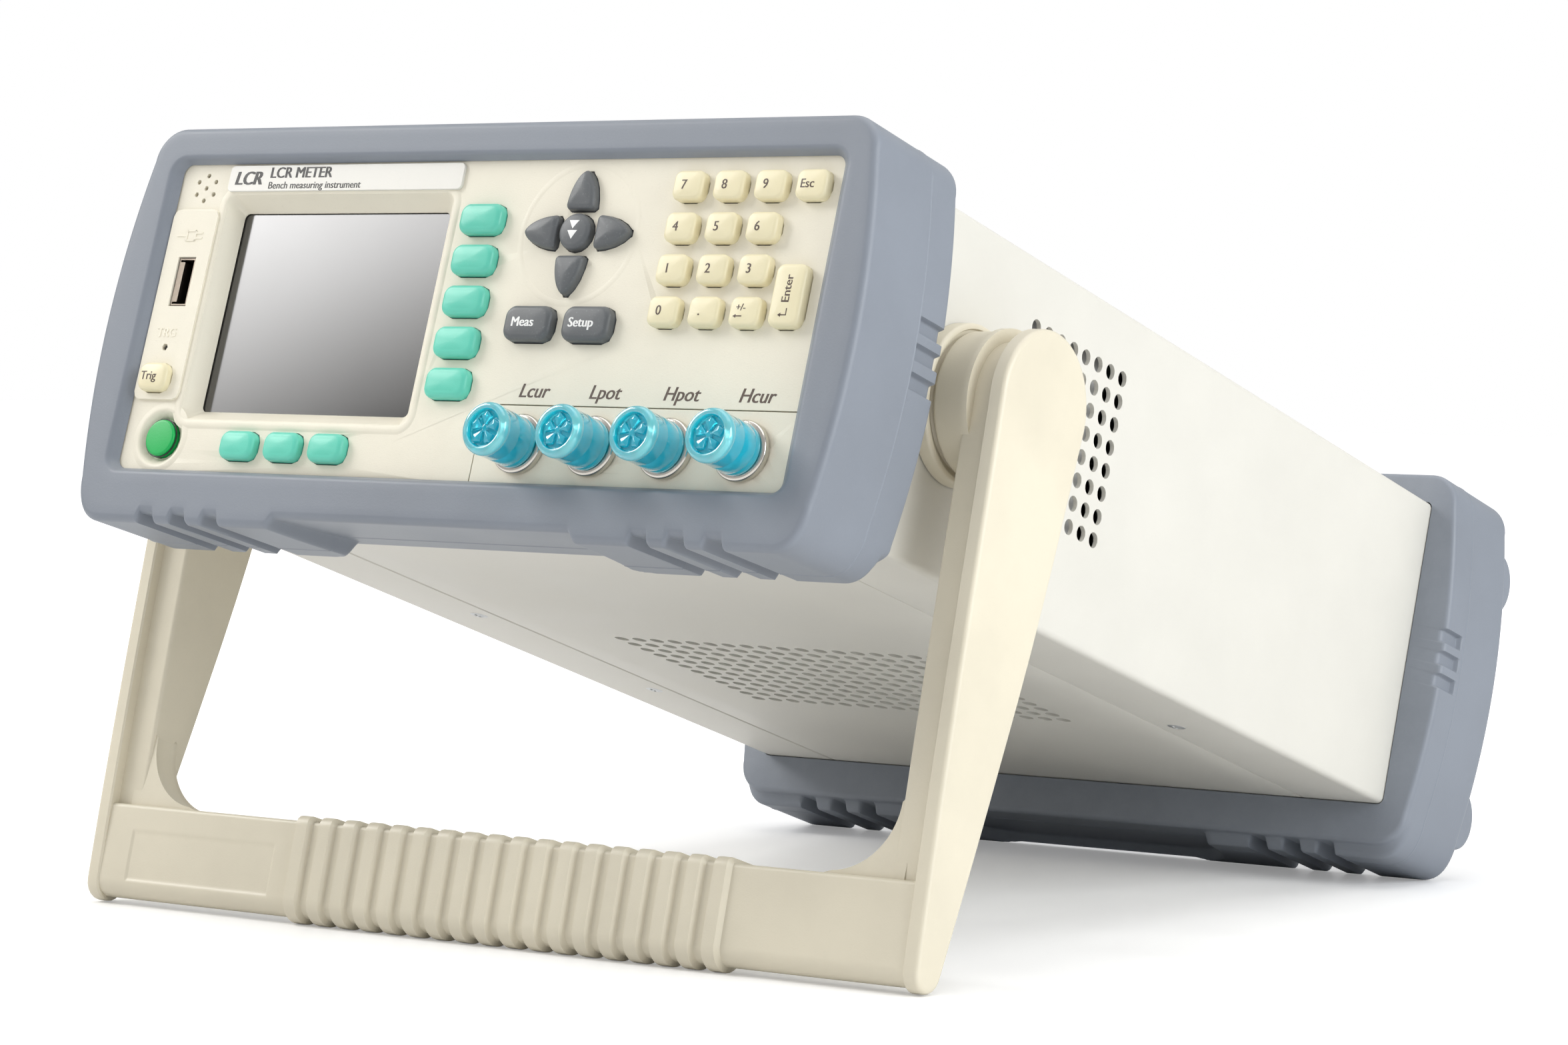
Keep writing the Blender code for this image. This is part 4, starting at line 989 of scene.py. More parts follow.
@dataclass
class Handle:
    """The swing handle: two arms of a plate and a web, a ribbed bar and a boss on each arm."""

    outer: float = 133.0
    plate: float = 4.4
    inner: float = 120.2
    head: float = 18.8
    end: tuple[float, float, float] = (-4.9, -138.2, 5.3)     # y, z, radius of the lower end
    bar_top: float = -118.0
    web_inset: float = 3.2
    rib_first: float = -60.4
    rib_pitch: float = 7.85
    rib_count: int = 18
    rib_width: float = 4.7
    rib_height: float = 1.4
    panel: tuple[float, float, float, float] = (-119.3, -69.5, -138.0, -125.0)
    fillet: float = 18.5
    boss: float = 18.0
    boss_inner: float = 112.1
    case_side: float = 107.5
    collar: float = 20.0
    collar_stand: float = 4.3
    spigot: float = 6.0
    bore: float = 6.3

    def arm_outline(self) -> Array:
        """The arm from the side, about the pivot: a round head that tapers to a round lower end."""
        y, z, radius = self.end
        outline = np.concatenate((
            arc(0, 0, self.head, 190, -10, 24), ((14.6, -51.0), (7.0, -100.0)),
            arc(y, z, radius, -5, -175, 12), ((-12.6, -108.0), (-15.0, -70.0))))
        return evenly(soften(outline[::-1], 2), 220)

    def arm(self, piece: Moulding, side: int) -> None:
        """One arm: a plate with rounded rims, a thinner web set in from its edge, and the boss.

        Args:
            piece: the piece that takes the arm.
            side: 1 on the right, -1 on the left.
        """
        outline = self.arm_outline()
        normal = outward(outline)
        turn = np.linspace(0.0, pi / 2, 6)
        rim = 1.3
        plate = [(0.5, self.outer - self.plate), (0.0, self.outer - self.plate + 0.4)]
        plate += [(rim * (1 - cos(a)), self.outer - rim + rim * sin(a)) for a in turn]
        piece.solid(np.array([along_x(outline - normal * inset, side * x) for inset, x in plate]))
        web = [(self.web_inset, self.outer - self.plate + 1.0)]
        web += [(self.web_inset + 0.9 * (1 - cos(a)), self.inner + 0.9 - 0.9 * sin(a)) for a in turn]
        piece.solid(np.array([along_x(outline - normal * inset, side * x) for inset, x in web]))
        boss = [(self.bore, self.boss_inner), (self.boss - 1.2, self.boss_inner)]
        boss += [(self.boss - 1.2 + 1.2 * sin(a), self.boss_inner + 1.2 * (1 - cos(a))) for a in turn]
        boss += [(self.boss, self.inner - 0.6), (self.boss + 0.8, self.inner + 0.6),
                 (self.boss + 0.8, self.inner + 2.4), (self.bore, self.inner + 2.4)]
        piece.turned_across(boss, side, loop=True)

    def bar_section(self) -> Array:
        """The bar in section about the pivot: a nearly flat face, round underneath."""
        y, z, _ = self.end
        low = z - 4.1
        outline = np.concatenate((((-10.8, self.bar_top), (-10.1, -133.0)),
                                  arc(y, low + 5.0, 5.0, 195, 345, 14),
                                  ((1.0, -130.0), (2.4, self.bar_top))))
        rounded = np.concatenate((arc(-9.9, self.bar_top - 0.9, 0.9, 90, 175, 4), outline[1:-1],
                                  arc(1.5, self.bar_top - 0.9, 0.9, 0, 90, 4)))
        return evenly(rounded, 150)

    def stations(self) -> Array:
        """Places across the bar: a cluster of lines at each rib's flanks, wider steps elsewhere."""
        flank = np.array((-0.9, -0.5, -0.2, 0.1, 0.45))
        across = self.rib_width / 2 + flank
        rib = np.concatenate((-across[::-1], (-0.7, 0.7), across))
        ribs = (self.rib_first + self.rib_pitch * np.arange(self.rib_count))[:, None] + rib[None]
        left, right, _, _ = self.panel
        frame_lines = np.array([edge + step for edge in (left, right)
                                for step in (-0.9, -0.5, -0.2, 0.2, 0.5, 0.9)])
        plain = np.concatenate((np.linspace(-129.6, -66.0, 24), np.linspace(78.0, 129.6, 16)))
        return np.unique(np.round(np.concatenate((ribs.ravel(), frame_lines, plain)), 3))

    def bar(self, piece: Moulding) -> None:
        """The bar: its section carried across, swelled by the ribs and sunk by the label panel.

        A rib stands off by the rib height where the distance from its middle is under half its width,
        with rolled flanks. The label panel is a shallow tray on the front face.

        Args:
            piece: the piece that takes the bar.
        """
        section = self.bar_section()
        normal = outward(section)
        across = self.stations()
        middle = self.rib_first + self.rib_pitch * np.arange(self.rib_count)
        gap = np.abs(across[:, None] - middle[None]).min(axis=1)
        swell = self.rib_height * smooth_step((self.rib_width / 2 + 0.5 - gap) / 1.1)
        left, right, low, high = self.panel
        inside = np.minimum(np.minimum(across - left, right - across)[:, None],
                            np.minimum(section[:, 1] - low, high - section[:, 1])[None])
        tray = 0.35 * smooth_step(inside / 0.7 + 0.5) * (normal[:, 0] < -0.5)[None]
        rings = section[None] + normal[None] * (swell[:, None] - tray)[..., None]
        piece.solid(np.stack([along_x(ring, x) for ring, x in zip(rings, across)]))

    def fillets(self, piece: Moulding) -> None:
        """The curved gusset where each web runs into the bar.

        Args:
            piece: the piece that takes the gussets.
        """
        radius = self.fillet
        outline = np.concatenate((((self.inner + 3.0, self.bar_top - 5.0),
                                   (self.inner + 3.0, self.bar_top + radius),
                                   (self.inner, self.bar_top + radius)),
                                  arc(self.inner - radius, self.bar_top + radius, radius, 0, -90, 20),
                                  ((self.inner - radius, self.bar_top - 5.0),)))
        for side in (1, -1):
            rings = []
            for depth, inset in ((-8.9, 0.8), (-8.6, 0.3), (-8.0, 0.0), (-2.2, 0.0), (-1.6, 0.3),
                                 (-1.3, 0.8)):
                moved = outline - outward(outline[::-1])[::-1] * inset
                rings.append(np.stack((side * moved[:, 0], np.full(len(moved), depth + PIVOT[0]),
                                       moved[:, 1] + PIVOT[1]), axis=1))
            piece.solid(np.array(rings))

    def hubs(self) -> None:
        """The collar on each side of the case, with a rolled rim and the spigot in its middle."""
        turn = np.linspace(0.0, pi / 2, 6)
        top = self.case_side + self.collar_stand
        profile = [(0.0, self.case_side + 0.3), (self.collar, self.case_side + 0.3)]
        profile += [(self.collar - 1.0 + cos(a), top - 1.0 + sin(a)) for a in turn]
        profile += [(self.boss + 0.6, top), (self.boss + 0.3, top - 0.8), (self.boss - 1.0, top - 0.8),
                    (self.boss - 1.6, top), (self.spigot, top), (self.spigot, 119.9), (0.0, 119.9)]
        for side, name in ((1, "right"), (-1, "left")):
            piece = Moulding(f"hub_collar_{name}")
            piece.turned_across(profile, side)
            piece.make("case", (HANDLE_PLASTIC,), (f"handle_hub_{name}",))

    def build(self) -> None:
        """Build the handle and its hubs."""
        piece = Moulding("swing_handle")
        self.bar(piece)
        for side in (1, -1):
            self.arm(piece, side)
        self.fillets(piece)
        piece.make("handle", (HANDLE_PLASTIC,), ("handle",), sharp=42.0)
        self.hubs()


# ---------------------------------------------------------------- keys

class KeyForm(Enum):
    """The outlines that the keys come in."""

    PAD = "rounded rectangle"
    BULLET = "bullet"
    ROUND = "circle"


@dataclass
class Key:
    """A rubber key with a rolled shoulder and a crowned top, and whatever is printed on it."""

    node: str
    finish: Finish
    slot: str
    form: KeyForm = KeyForm.PAD
    corner: float = 2.6
    quarter_turns: int = 0
    roll: float = 1.7            # how far in the shoulder reaches
    fall: float = 1.5            # how far down it reaches
    crown: float = 0.35
    sink: float = 0.0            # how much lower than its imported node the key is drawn
    ink: Finish = BROWN_INK
    legends: Sequence[Legend] = ()
    marks: Sequence[Array] = ()

    def __post_init__(self) -> None:
        """Take the key's middle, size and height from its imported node."""
        low, high = STAND.extent(self.node)
        self.x, _, self.z = (low + high) / 2
        self.half = np.array((high[0] - low[0], high[2] - low[2])) / 2
        self.top, self.tail = low[1] + self.sink, high[1]

    def outline(self) -> Array:
        """The key seen from the front, about its own middle.

        A bullet has a flat base and two flanks whose half-width falls as the cosine of the way to its
        nose, to the power 1.25.
        """
        width, height = self.half
        if self.form is KeyForm.PAD:
            return soft_box(-width, width, -height, height, self.corner, 10)
        if self.form is KeyForm.ROUND:
            return arc(0, 0, width, 0, 360, 64)[:-1]
        long, wide = (width, height) if self.quarter_turns % 2 == 0 else (height, width)
        way = np.linspace(0.0, 0.93, 30)
        flank = np.stack((long * (2 * np.sin(way * pi / 2) - 1), wide * np.cos(way * pi / 2) ** 1.25), 1)
        base = arc(-long + 1.1, wide - 1.1, 1.1, 180, 90, 6)
        nose = arc(long - 0.9, 0.0, 0.9, 50, 0, 5)
        upper = np.concatenate((base, flank[6:], nose))
        whole = np.concatenate((upper, upper[::-1] * (1.0, -1.0)))[::-1]
        turn = self.quarter_turns * pi / 2
        spin = np.array(((cos(turn), sin(turn)), (-sin(turn), cos(turn))))
        return evenly(soften(whole, 1), 96) @ spin

    def rings(self) -> tuple[Array, Array]:
        """Scaled outlines and their depths, from the tail to the rim of the crown.

        The shoulder is a quarter of an ellipse, roll across by fall down.
        """
        outline = self.outline()
        turn = np.linspace(0.0, pi / 2, 9)
        inset = np.concatenate(((0.0,), self.roll * (1 - np.cos(turn))))
        depth = np.concatenate(((self.tail,), self.top + self.crown + self.fall * (1 - np.sin(turn))))
        scale = 1.0 - inset[:, None] / self.half[None]
        return outline[None] * scale[:, None], depth

    def crown_height(self, share: Array) -> Array:
        """How far the crown stands off its rim at a share of the way out: c (1 - s^2)."""
        return self.crown * (1 - share ** 2)

    def surface(self, x: Array, z: Array) -> Array:
        """The y of the crown over (x, z), from how far out the point is on its own ray."""
        rim = self.rings()[0][-1]
        bearing = np.arctan2(rim[:, 1], rim[:, 0])
        order = np.argsort(bearing)
        px, pz = x - self.x, z - self.z
        reach = np.interp(np.arctan2(pz, px), bearing[order], np.hypot(*rim[order].T), period=2 * pi)
        share = np.clip(np.hypot(px, pz) / reach, 0.0, 1.0)
        return self.top + self.crown - self.crown_height(share)

    def build(self) -> bpy.types.Object:
        """Build the key with its legends and marks."""
        piece = Moulding(self.node + "_cap")
        outlines, depth = self.rings()
        share = np.linspace(1.0, 0.0, 9)[1:]
        tops = outlines[-1][None] * share[:, None, None]
        crown = self.top + self.crown - self.crown_height(share)
        flat = np.concatenate((outlines, tops)) + np.array((self.x, self.z))
        rows = along_y(flat, np.concatenate((depth, crown))[:, None])
        piece.grid(rows, wrap_columns=True)
        piece.shape(rows[0], [list(range(rows.shape[1]))])
        for legend in self.legends:
            legend.x += self.x
            legend.z += self.z
            legend.write(piece, self.surface)
        for mark in self.marks:
            points, faces = drawn_mark(mark)
            x, z = self.x + points[:, 0], self.z + points[:, 1]
            piece.shape(np.stack((x, self.surface(x, z) - points[:, 2], z), 1), faces, 1)
        return piece.make(self.node, (self.finish, self.ink), (self.node,), sharp=60.0)


def stroke(points: Sequence[tuple[float, float]], width: float) -> Array:
    """A drawn line of even width as a closed outline."""
    line = np.array(points, float)
    side = outward(line, closed=False) * width / 2
    return np.concatenate((line + side, (line - side)[::-1]))


def number_prints() -> dict[str, str]:
    """What is printed on each numeric key, by the end of its node's name."""
    return {**{str(digit): str(digit) for digit in range(10)}, "point": ".", "esc": "Esc",
            "sign": "+/-"}


@dataclass
class KeyPad:
    """Every key on the panel."""

    number_legends: dict[str, str] = field(default_factory=number_prints)
    number_height: float = 2.4
    # a dark ring of painted shade fills the gap round each key
    seal: tuple[float, float, float] = (0.06, 0.36, 0.32)    # gap, reach and depth round a key

    def softkeys(self) -> list[Key]:
        """The blank keys beside and below the display."""
        names = [f"softkey_right_{n}" for n in range(1, 6)] + [f"softkey_bottom_{n}" for n in range(1, 4)]
        return [Key(name, SOFTKEY_RUBBER, "key_turquoise", roll=1.5, fall=1.3, crown=0.3)
                for name in names]

    def numbers(self) -> list[Key]:
        """The numeric keys, each with its sign a little to the left of its middle."""
        keys = []
        heights = {"Esc": 2.2, "+/-": 1.7}
        for label, text in self.number_legends.items():
            legend = Legend(text, -0.8, 0.9 if text == "+/-" else 0.0,
                            heights.get(text, self.number_height), slant=0.0, bold=0.12)
            marks = []
            if text == "+/-":
                marks = [stroke(((-0.2, -1.3), (-2.2, -1.3)), 0.28),
                         np.array(((-2.9, -1.3), (-1.9, -1.75), (-1.9, -0.85)))]
            keys.append(Key(f"key_{label}", CREAM_RUBBER, "key_cream", corner=1.9, roll=1.0, fall=1.0,
                            crown=0.25, legends=[legend], marks=marks))
        bent = [stroke(((1.0, -3.4), (1.0, -5.0), (-0.7, -5.0)), 0.3),
                np.array(((-0.5, -4.5), (-1.4, -5.0), (-0.5, -5.5)))]
        keys.append(Key("key_enter", CREAM_RUBBER, "key_cream", corner=2.0, roll=1.1, fall=1.0,
                        crown=0.25, legends=[Legend("Enter", 0.1, 1.4, 2.2, slant=0.0, bold=0.12,
                                                    quarter_turn=True)], marks=bent))
        keys.append(Key("key_trig", CREAM_RUBBER, "key_cream", corner=2.3, roll=1.2, fall=1.1,
                        crown=0.2, legends=[Legend("Trig", -0.9, 0.1, 2.3, slant=0.0, bold=0.12)]))
        return keys

    def arrows(self) -> list[Key]:
        """The four arrow keys, the centre key with two triangles, and the two mode keys."""
        keys = [Key(name, GREY_RUBBER, "key_grey", KeyForm.BULLET, quarter_turns=turns, roll=1.5,
                    fall=1.4, crown=0.35)
                for turns, name in enumerate(("nav_right", "nav_up", "nav_left", "nav_down"))]
        triangles = [np.array(((-1.5, up), (0.0, up - 2.2), (1.5, up))) for up in (2.6, 0.0)]
        keys.append(Key("nav_centre", GREY_RUBBER, "key_grey", KeyForm.ROUND, roll=1.4, fall=1.3,
                        crown=0.3, ink=WHITE_INK, marks=triangles))
        for name, text in (("key_meas", "Meas"), ("key_setup", "Setup")):
            keys.append(Key(name, GREY_RUBBER, "key_grey", corner=2.8, roll=1.4, fall=1.3, crown=0.2,
                            ink=WHITE_INK, legends=[Legend(text, -0.9, 0.1, 2.4, slant=0.0,
                                                           bold=0.22)]))
        return keys

    def seals(self, keys: Sequence[Key]) -> bpy.types.Object:
        """A thin dark ring in the gap round each key, a painted shade where the gap lies in shadow: its
        outline moved out by two distances.

        Args:
            keys: the keys that get a ring of painted shade.

        Returns:
            One object with all the rings of painted shade.
        """
        gap, reach, depth = self.seal
        piece = Moulding("key_seals")
        for key in keys:
            outline = key.outline() + np.array((key.x, key.z))
            normal = outward(outline)
            piece.grid(np.stack([along_y(outline + normal * out, back)
                                 for out, back in ((gap, depth), (reach, depth), (reach, depth + 0.3),
                                                   (gap, depth + 0.3))]),
                       wrap_rows=True, wrap_columns=True)
        return piece.make("case", (BLACK_PLASTIC,))

    def build(self) -> None:
        """Build every key."""
        power = Key("power_button", GREEN_RUBBER, "key_green", KeyForm.ROUND, roll=0.6, fall=0.5,
                    crown=0.1, sink=0.9, ink=GREEN_RUBBER)
        keys = (*self.softkeys(), *self.numbers(), *self.arrows(), power)
        for key in keys:
            key.build()
        # each key gets a dark ring of painted shade in its gap
        self.seals(keys)


# ---------------------------------------------------------------- terminals

@dataclass
class Terminals:
    """Four coaxial sockets under clear blue caps."""

    socket_count: int = 4
    cap_radius: float = 6.65
    cap_front: float = -15.3
    cap_rear: float = -2.6
    wall: float = 1.55
    petals: int = 5
    star: float = 4.5
    dish: float = 4.9

    def socket(self, index: int) -> None:
        """One socket: flange, barrel and centre pin, as one turned profile.

        Args:
            index: the socket's number.
        """
        node = f"bnc_socket_{index}"
        low, high = STAND.extent(node)
        x, z = (low[0] + high[0]) / 2, (low[2] + high[2]) / 2
        piece = Moulding(f"coaxial_socket_{index}")
        piece.turned(((0.0, 14.0), (5.0, 14.0), (6.0, 13.0), (6.0, -0.3), (7.3, -0.3), (7.5, -0.5),
                      (7.5, -1.7), (7.3, -2.1), (6.9, -2.3), (5.6, -2.4), (5.3, -2.9), (4.8, -3.1),
                      (4.8, -5.0), (4.6, -5.3), (4.6, -8.0), (4.8, -8.3), (4.8, -13.2), (4.6, -13.5),
                      (4.1, -13.5), (4.1, -4.0), (1.2, -4.0), (1.2, -10.6), (0.9, -11.0),
                      (0.0, -11.0)), x, z, 64)
        piece.make("case", (NICKEL,), (node,))

    def cap_face(self, x: float, z: float) -> Array:
        """The cap's front: a sunk disc with five raised kites round a small hub.

        Each kite is measured along and across its own ray. Its half-width grows from the hub and shrinks
        again to its tip, and its height rises with the distance from that edge.

        Args:
            x: the cap's middle across.
            z: the cap's middle up.

        Returns:
            The grid of points, from the hub outwards.
        """
        radius = np.linspace(0.0, self.dish, 34)[:, None]
        turn = np.linspace(0.0, 2 * pi, 160, endpoint=False)[None]
        sector = 2 * pi / self.petals
        off = np.abs((turn - pi / 2 + sector / 2) % sector - sector / 2)
        aside = radius * np.sin(off)
        ahead = radius * np.cos(off)
        inside = np.minimum(0.30 + 0.60 * (ahead - 1.1), 1.1 * (self.star - ahead)) - aside
        kite = 0.65 * smooth_step(inside / 0.28 + 0.5) + 0.30 * np.clip(inside, 0.0, 1.2)
        hub = 0.5 * smooth_step((1.1 - radius) / 0.3)
        floor = self.cap_front + 1.25 - np.maximum(kite, hub)
        depth = floor - (floor - self.cap_front - 0.1) * smooth_step((radius - self.dish + 0.5) / 0.5)
        return np.stack((x + radius * np.cos(turn), depth, z + radius * np.sin(turn)), axis=-1)

    def cap(self, index: int) -> None:
        """One cap: the star face, a rolled rim in a lighter copy of the plastic as a painted highlight, a
        stepped barrel and the bore inside.

        Args:
            index: the cap's number.
        """
        node = f"terminal_cap_{index}"
        low, high = STAND.extent(node)
        x, z = (low[0] + high[0]) / 2, (low[2] + high[2]) / 2
        piece = Moulding(f"coaxial_cap_{index}")
        big, front, rear = self.cap_radius, self.cap_front, self.cap_rear
        bore = big - self.wall
        face = self.cap_face(x, z)
        turn = np.linspace(0.0, 2 * pi, 160, endpoint=False)[None]
        rim = np.array(((4.9, front + 0.1), (5.1, front + 0.02), (5.4, front), (5.8, front + 0.06),
                        (6.2, front + 0.3), (6.5, front + 0.8), (big, front + 1.4), (big, front + 2.1),
                        (6.5, front + 2.4)))
        profile = np.array(((6.5, front + 2.4), (6.42, front + 2.8), (6.42, -9.2), (6.36, -9.0),
                            (6.42, -8.8), (6.45, -4.6), (6.38, -4.4), (6.45, -4.2), (6.5, -3.3),
                            (6.45, rear - 0.2), (6.2, rear), (bore, rear), (bore, front + 2.8),
                            (bore - 1.0, front + 2.2), (0.0, front + 2.2)))
        piece.grid(face, wrap_columns=True)
        # finish 1, the lighter copy of the plastic on the rim, is a painted highlight
        for part, finish in ((rim, 1), (profile, 0)):
            radius, depth = part.T[..., None]
            piece.grid(np.stack((x + radius * np.cos(turn), depth + 0 * turn,
                                 z + radius * np.sin(turn)), -1), wrap_columns=True, finish=finish)
        piece.make(node, (CAP_PLASTIC, CAP_RIM_HIGHLIGHT), (node,), sharp=45.0)

    def build(self) -> None:
        """Build the sockets and the caps."""
        for index in range(1, self.socket_count + 1):
            self.socket(index)
            self.cap(index)


# ---------------------------------------------------------------- front panel

@dataclass
class FrontPanel:
    """What lies on and in the moulded panel: display, surround, labels and small marks."""

    surround: tuple[float, float, float, float] = (-88.4, -11.6, -27.8, 33.4)
    surround_corner: float = 3.6
    window: tuple[float, float, float, float] = (-85.4, -16.2, -24.1, 29.4)
    window_corner: float = 1.6
    panel_depth: float = 5.0
    rise: float = 0.28
    label_baseline: float = -19.5
    label_height: float = 3.5
    label_starts: tuple[float, ...] = (21.4, 43.0, 65.3, 87.5)
    nav: tuple[float, float] = (29.8, 22.1)
    power: tuple[float, float] = (-93.0, -32.6)
    plate_face: float = -0.8

    def display_surround(self) -> bpy.types.Object:
        """The frame round the display: up from the panel, over a rolled edge and down a slope.

        Each ring is a rounded rectangle part way between the frame's outline and the window's.
        """
        piece = Moulding("display_surround")
        left, right, bottom, top = self.surround
        stations = ((2.4, 0.05), (2.0, -0.02), (1.7, -0.16), (1.4, -0.24), (0.9, -self.rise),
                    (0.3, -self.rise), (-0.1, -0.18), (-0.4, 0.08), (-0.65, 0.5))
        outer = [along_y(soft_box(left - grow, right + grow, bottom - grow, top + grow,
                                  self.surround_corner + grow, 12), depth)
                 for grow, depth in stations]
        window = soft_box(*self.window, self.window_corner, 12)
        slope = [along_y(window, self.panel_depth - 0.35), along_y(window, self.panel_depth - 0.05)]
        rings = np.array(outer + slope)
        piece.grid(rings, wrap_columns=True)
        return piece.make("case", (PANEL_PLASTIC,))

    def screen(self) -> None:
        """The display's window: a slab with a rolled edge and a flat face."""
        low, high = STAND.extent("lcd_lens")
        piece = Moulding("display_window")
        rings = []
        for inset, depth in ((0.0, high[1]), (0.0, low[1] + 0.25), (0.08, low[1] + 0.08),
                             (0.25, low[1])):
            rings.append(along_y(soft_box(low[0] + inset, high[0] - inset, low[2] + inset,
                                          high[2] - inset, 1.5, 8), depth))
        piece.solid(np.array(rings))
        piece.make("case", (SCREEN_GLASS,), ("lcd_lens",))

    def name_plate(self) -> bpy.types.Object:
        """The label strip above the display, with generic lettering."""
        low, high = STAND.extent("name_plate")
        piece = Moulding("name_label")
        outline = soft_box(low[0], high[0], low[2], high[2], 1.4, 8)
        normal = outward(outline)
        rings = [along_y(outline - normal * inset, depth)
                 for inset, depth in ((0.0, -0.02), (0.0, low[1] + 0.12), (0.12, low[1]))]
        piece.solid(np.array(rings))
        flat = level(low[1])
        middle = (low[2] + high[2]) / 2
        Legend("LCR METER", low[0] + 14.0, middle + 1.5, 2.9, slant=0.0, bold=0.34, from_left=True,
               cuts=0).write(piece, flat)
        Legend("Bench measuring instrument", low[0] + 14.0, middle - 1.9, 1.9, slant=0.0, bold=0.12,
               from_left=True, cuts=0).write(piece, flat)
        Legend("LCR", low[0] + 2.2, middle + 0.1, 3.6, bold=0.55, slant=0.15, from_left=True,
               cuts=0).write(piece, flat)
        return piece.make("case", (LABEL_PLASTIC, BLACK_INK), ("name_plate",))

    def printing(self) -> bpy.types.Object:
        """The terminals' labels."""
        piece = Moulding("terminal_labels")
        flat = level(0.0)
        for text, start in zip(("Lcur", "Lpot", "Hpot", "Hcur"), self.label_starts):
            Legend(text, start, self.label_baseline + self.label_height / 2, self.label_height,
                   bold=0.22, from_left=True, cuts=0).write(piece, flat, 0)
        return piece.make("case", (BROWN_INK,))

    def embossing(self) -> bpy.types.Object:
        """Raised marks on the side plate: a plug's outline over the port and a word over the lamp."""
        piece = Moulding("side_plate_marks")
        plate = level(self.plate_face)
        strokes = [stroke(((-2.2, -1.3), (0.9, -1.3)), 0.45), stroke(((-2.2, 1.3), (0.9, 1.3)), 0.45),
                   stroke(((0.8, -1.5), (0.8, 1.5)), 0.45), stroke(((-2.2, 1.5), (-2.2, -1.5)), 0.45),
                   stroke(((-5.6, 0.0), (-2.4, 0.0)), 0.5), stroke(((1.0, 0.7), (3.2, 0.7)), 0.45),
                   stroke(((1.0, -0.7), (3.2, -0.7)), 0.45)]
        for line in strokes:
            moved = line + np.array((-96.6, 21.6))
            piece.solid(np.stack((along_y(moved, self.plate_face + 0.05),
                                  along_y(moved, self.plate_face - 0.16))))
        Legend("TRG", -98.2, -4.6, 2.4, slant=0.0, bold=0.2, thick=0.14, cuts=0).write(piece, plate, 0)
        return piece.make("case", (PANEL_PLASTIC,))

    def soft_rings(self) -> bpy.types.Object:
        """Shallow rings on the panel: round the arrow keys and round the power button's dish."""
        piece = Moulding("panel_rings")
        piece.turned(((18.9, 0.03), (18.4, -0.03), (17.8, -0.07), (17.2, -0.03), (16.7, 0.03)),
                     *self.nav, 120, loop=True)
        piece.turned(((9.6, 0.04), (9.0, -0.03), (8.4, -0.14), (7.9, -0.20), (7.5, -0.17),
                      (7.15, 0.02), (6.6, 0.55), (5.9, 1.35), (5.6, 1.7), (6.4, 1.7), (7.9, 0.04)),
                     *self.power, 96, loop=True)
        return piece.make("case", (PANEL_PLASTIC,))

    def lamp(self) -> bpy.types.Object:
        """The small lamp behind its hole: a dark lens with a domed tip."""
        piece = Moulding("trigger_lamp")
        piece.turned(((0.0, -0.1), (0.4, -0.05), (0.7, 0.1), (0.85, 0.4), (0.85, 3.0), (0.0, 3.0)),
                     -97.8, -8.6, 24)
        return piece.make("case", (BLACK_PLASTIC,))

    def build(self) -> None:
        """Build everything on the panel."""
        self.display_surround()
        self.screen()
        self.name_plate()
        self.printing()
        self.embossing()
        self.soft_rings()
        self.lamp()


# ---------------------------------------------------------------- rear

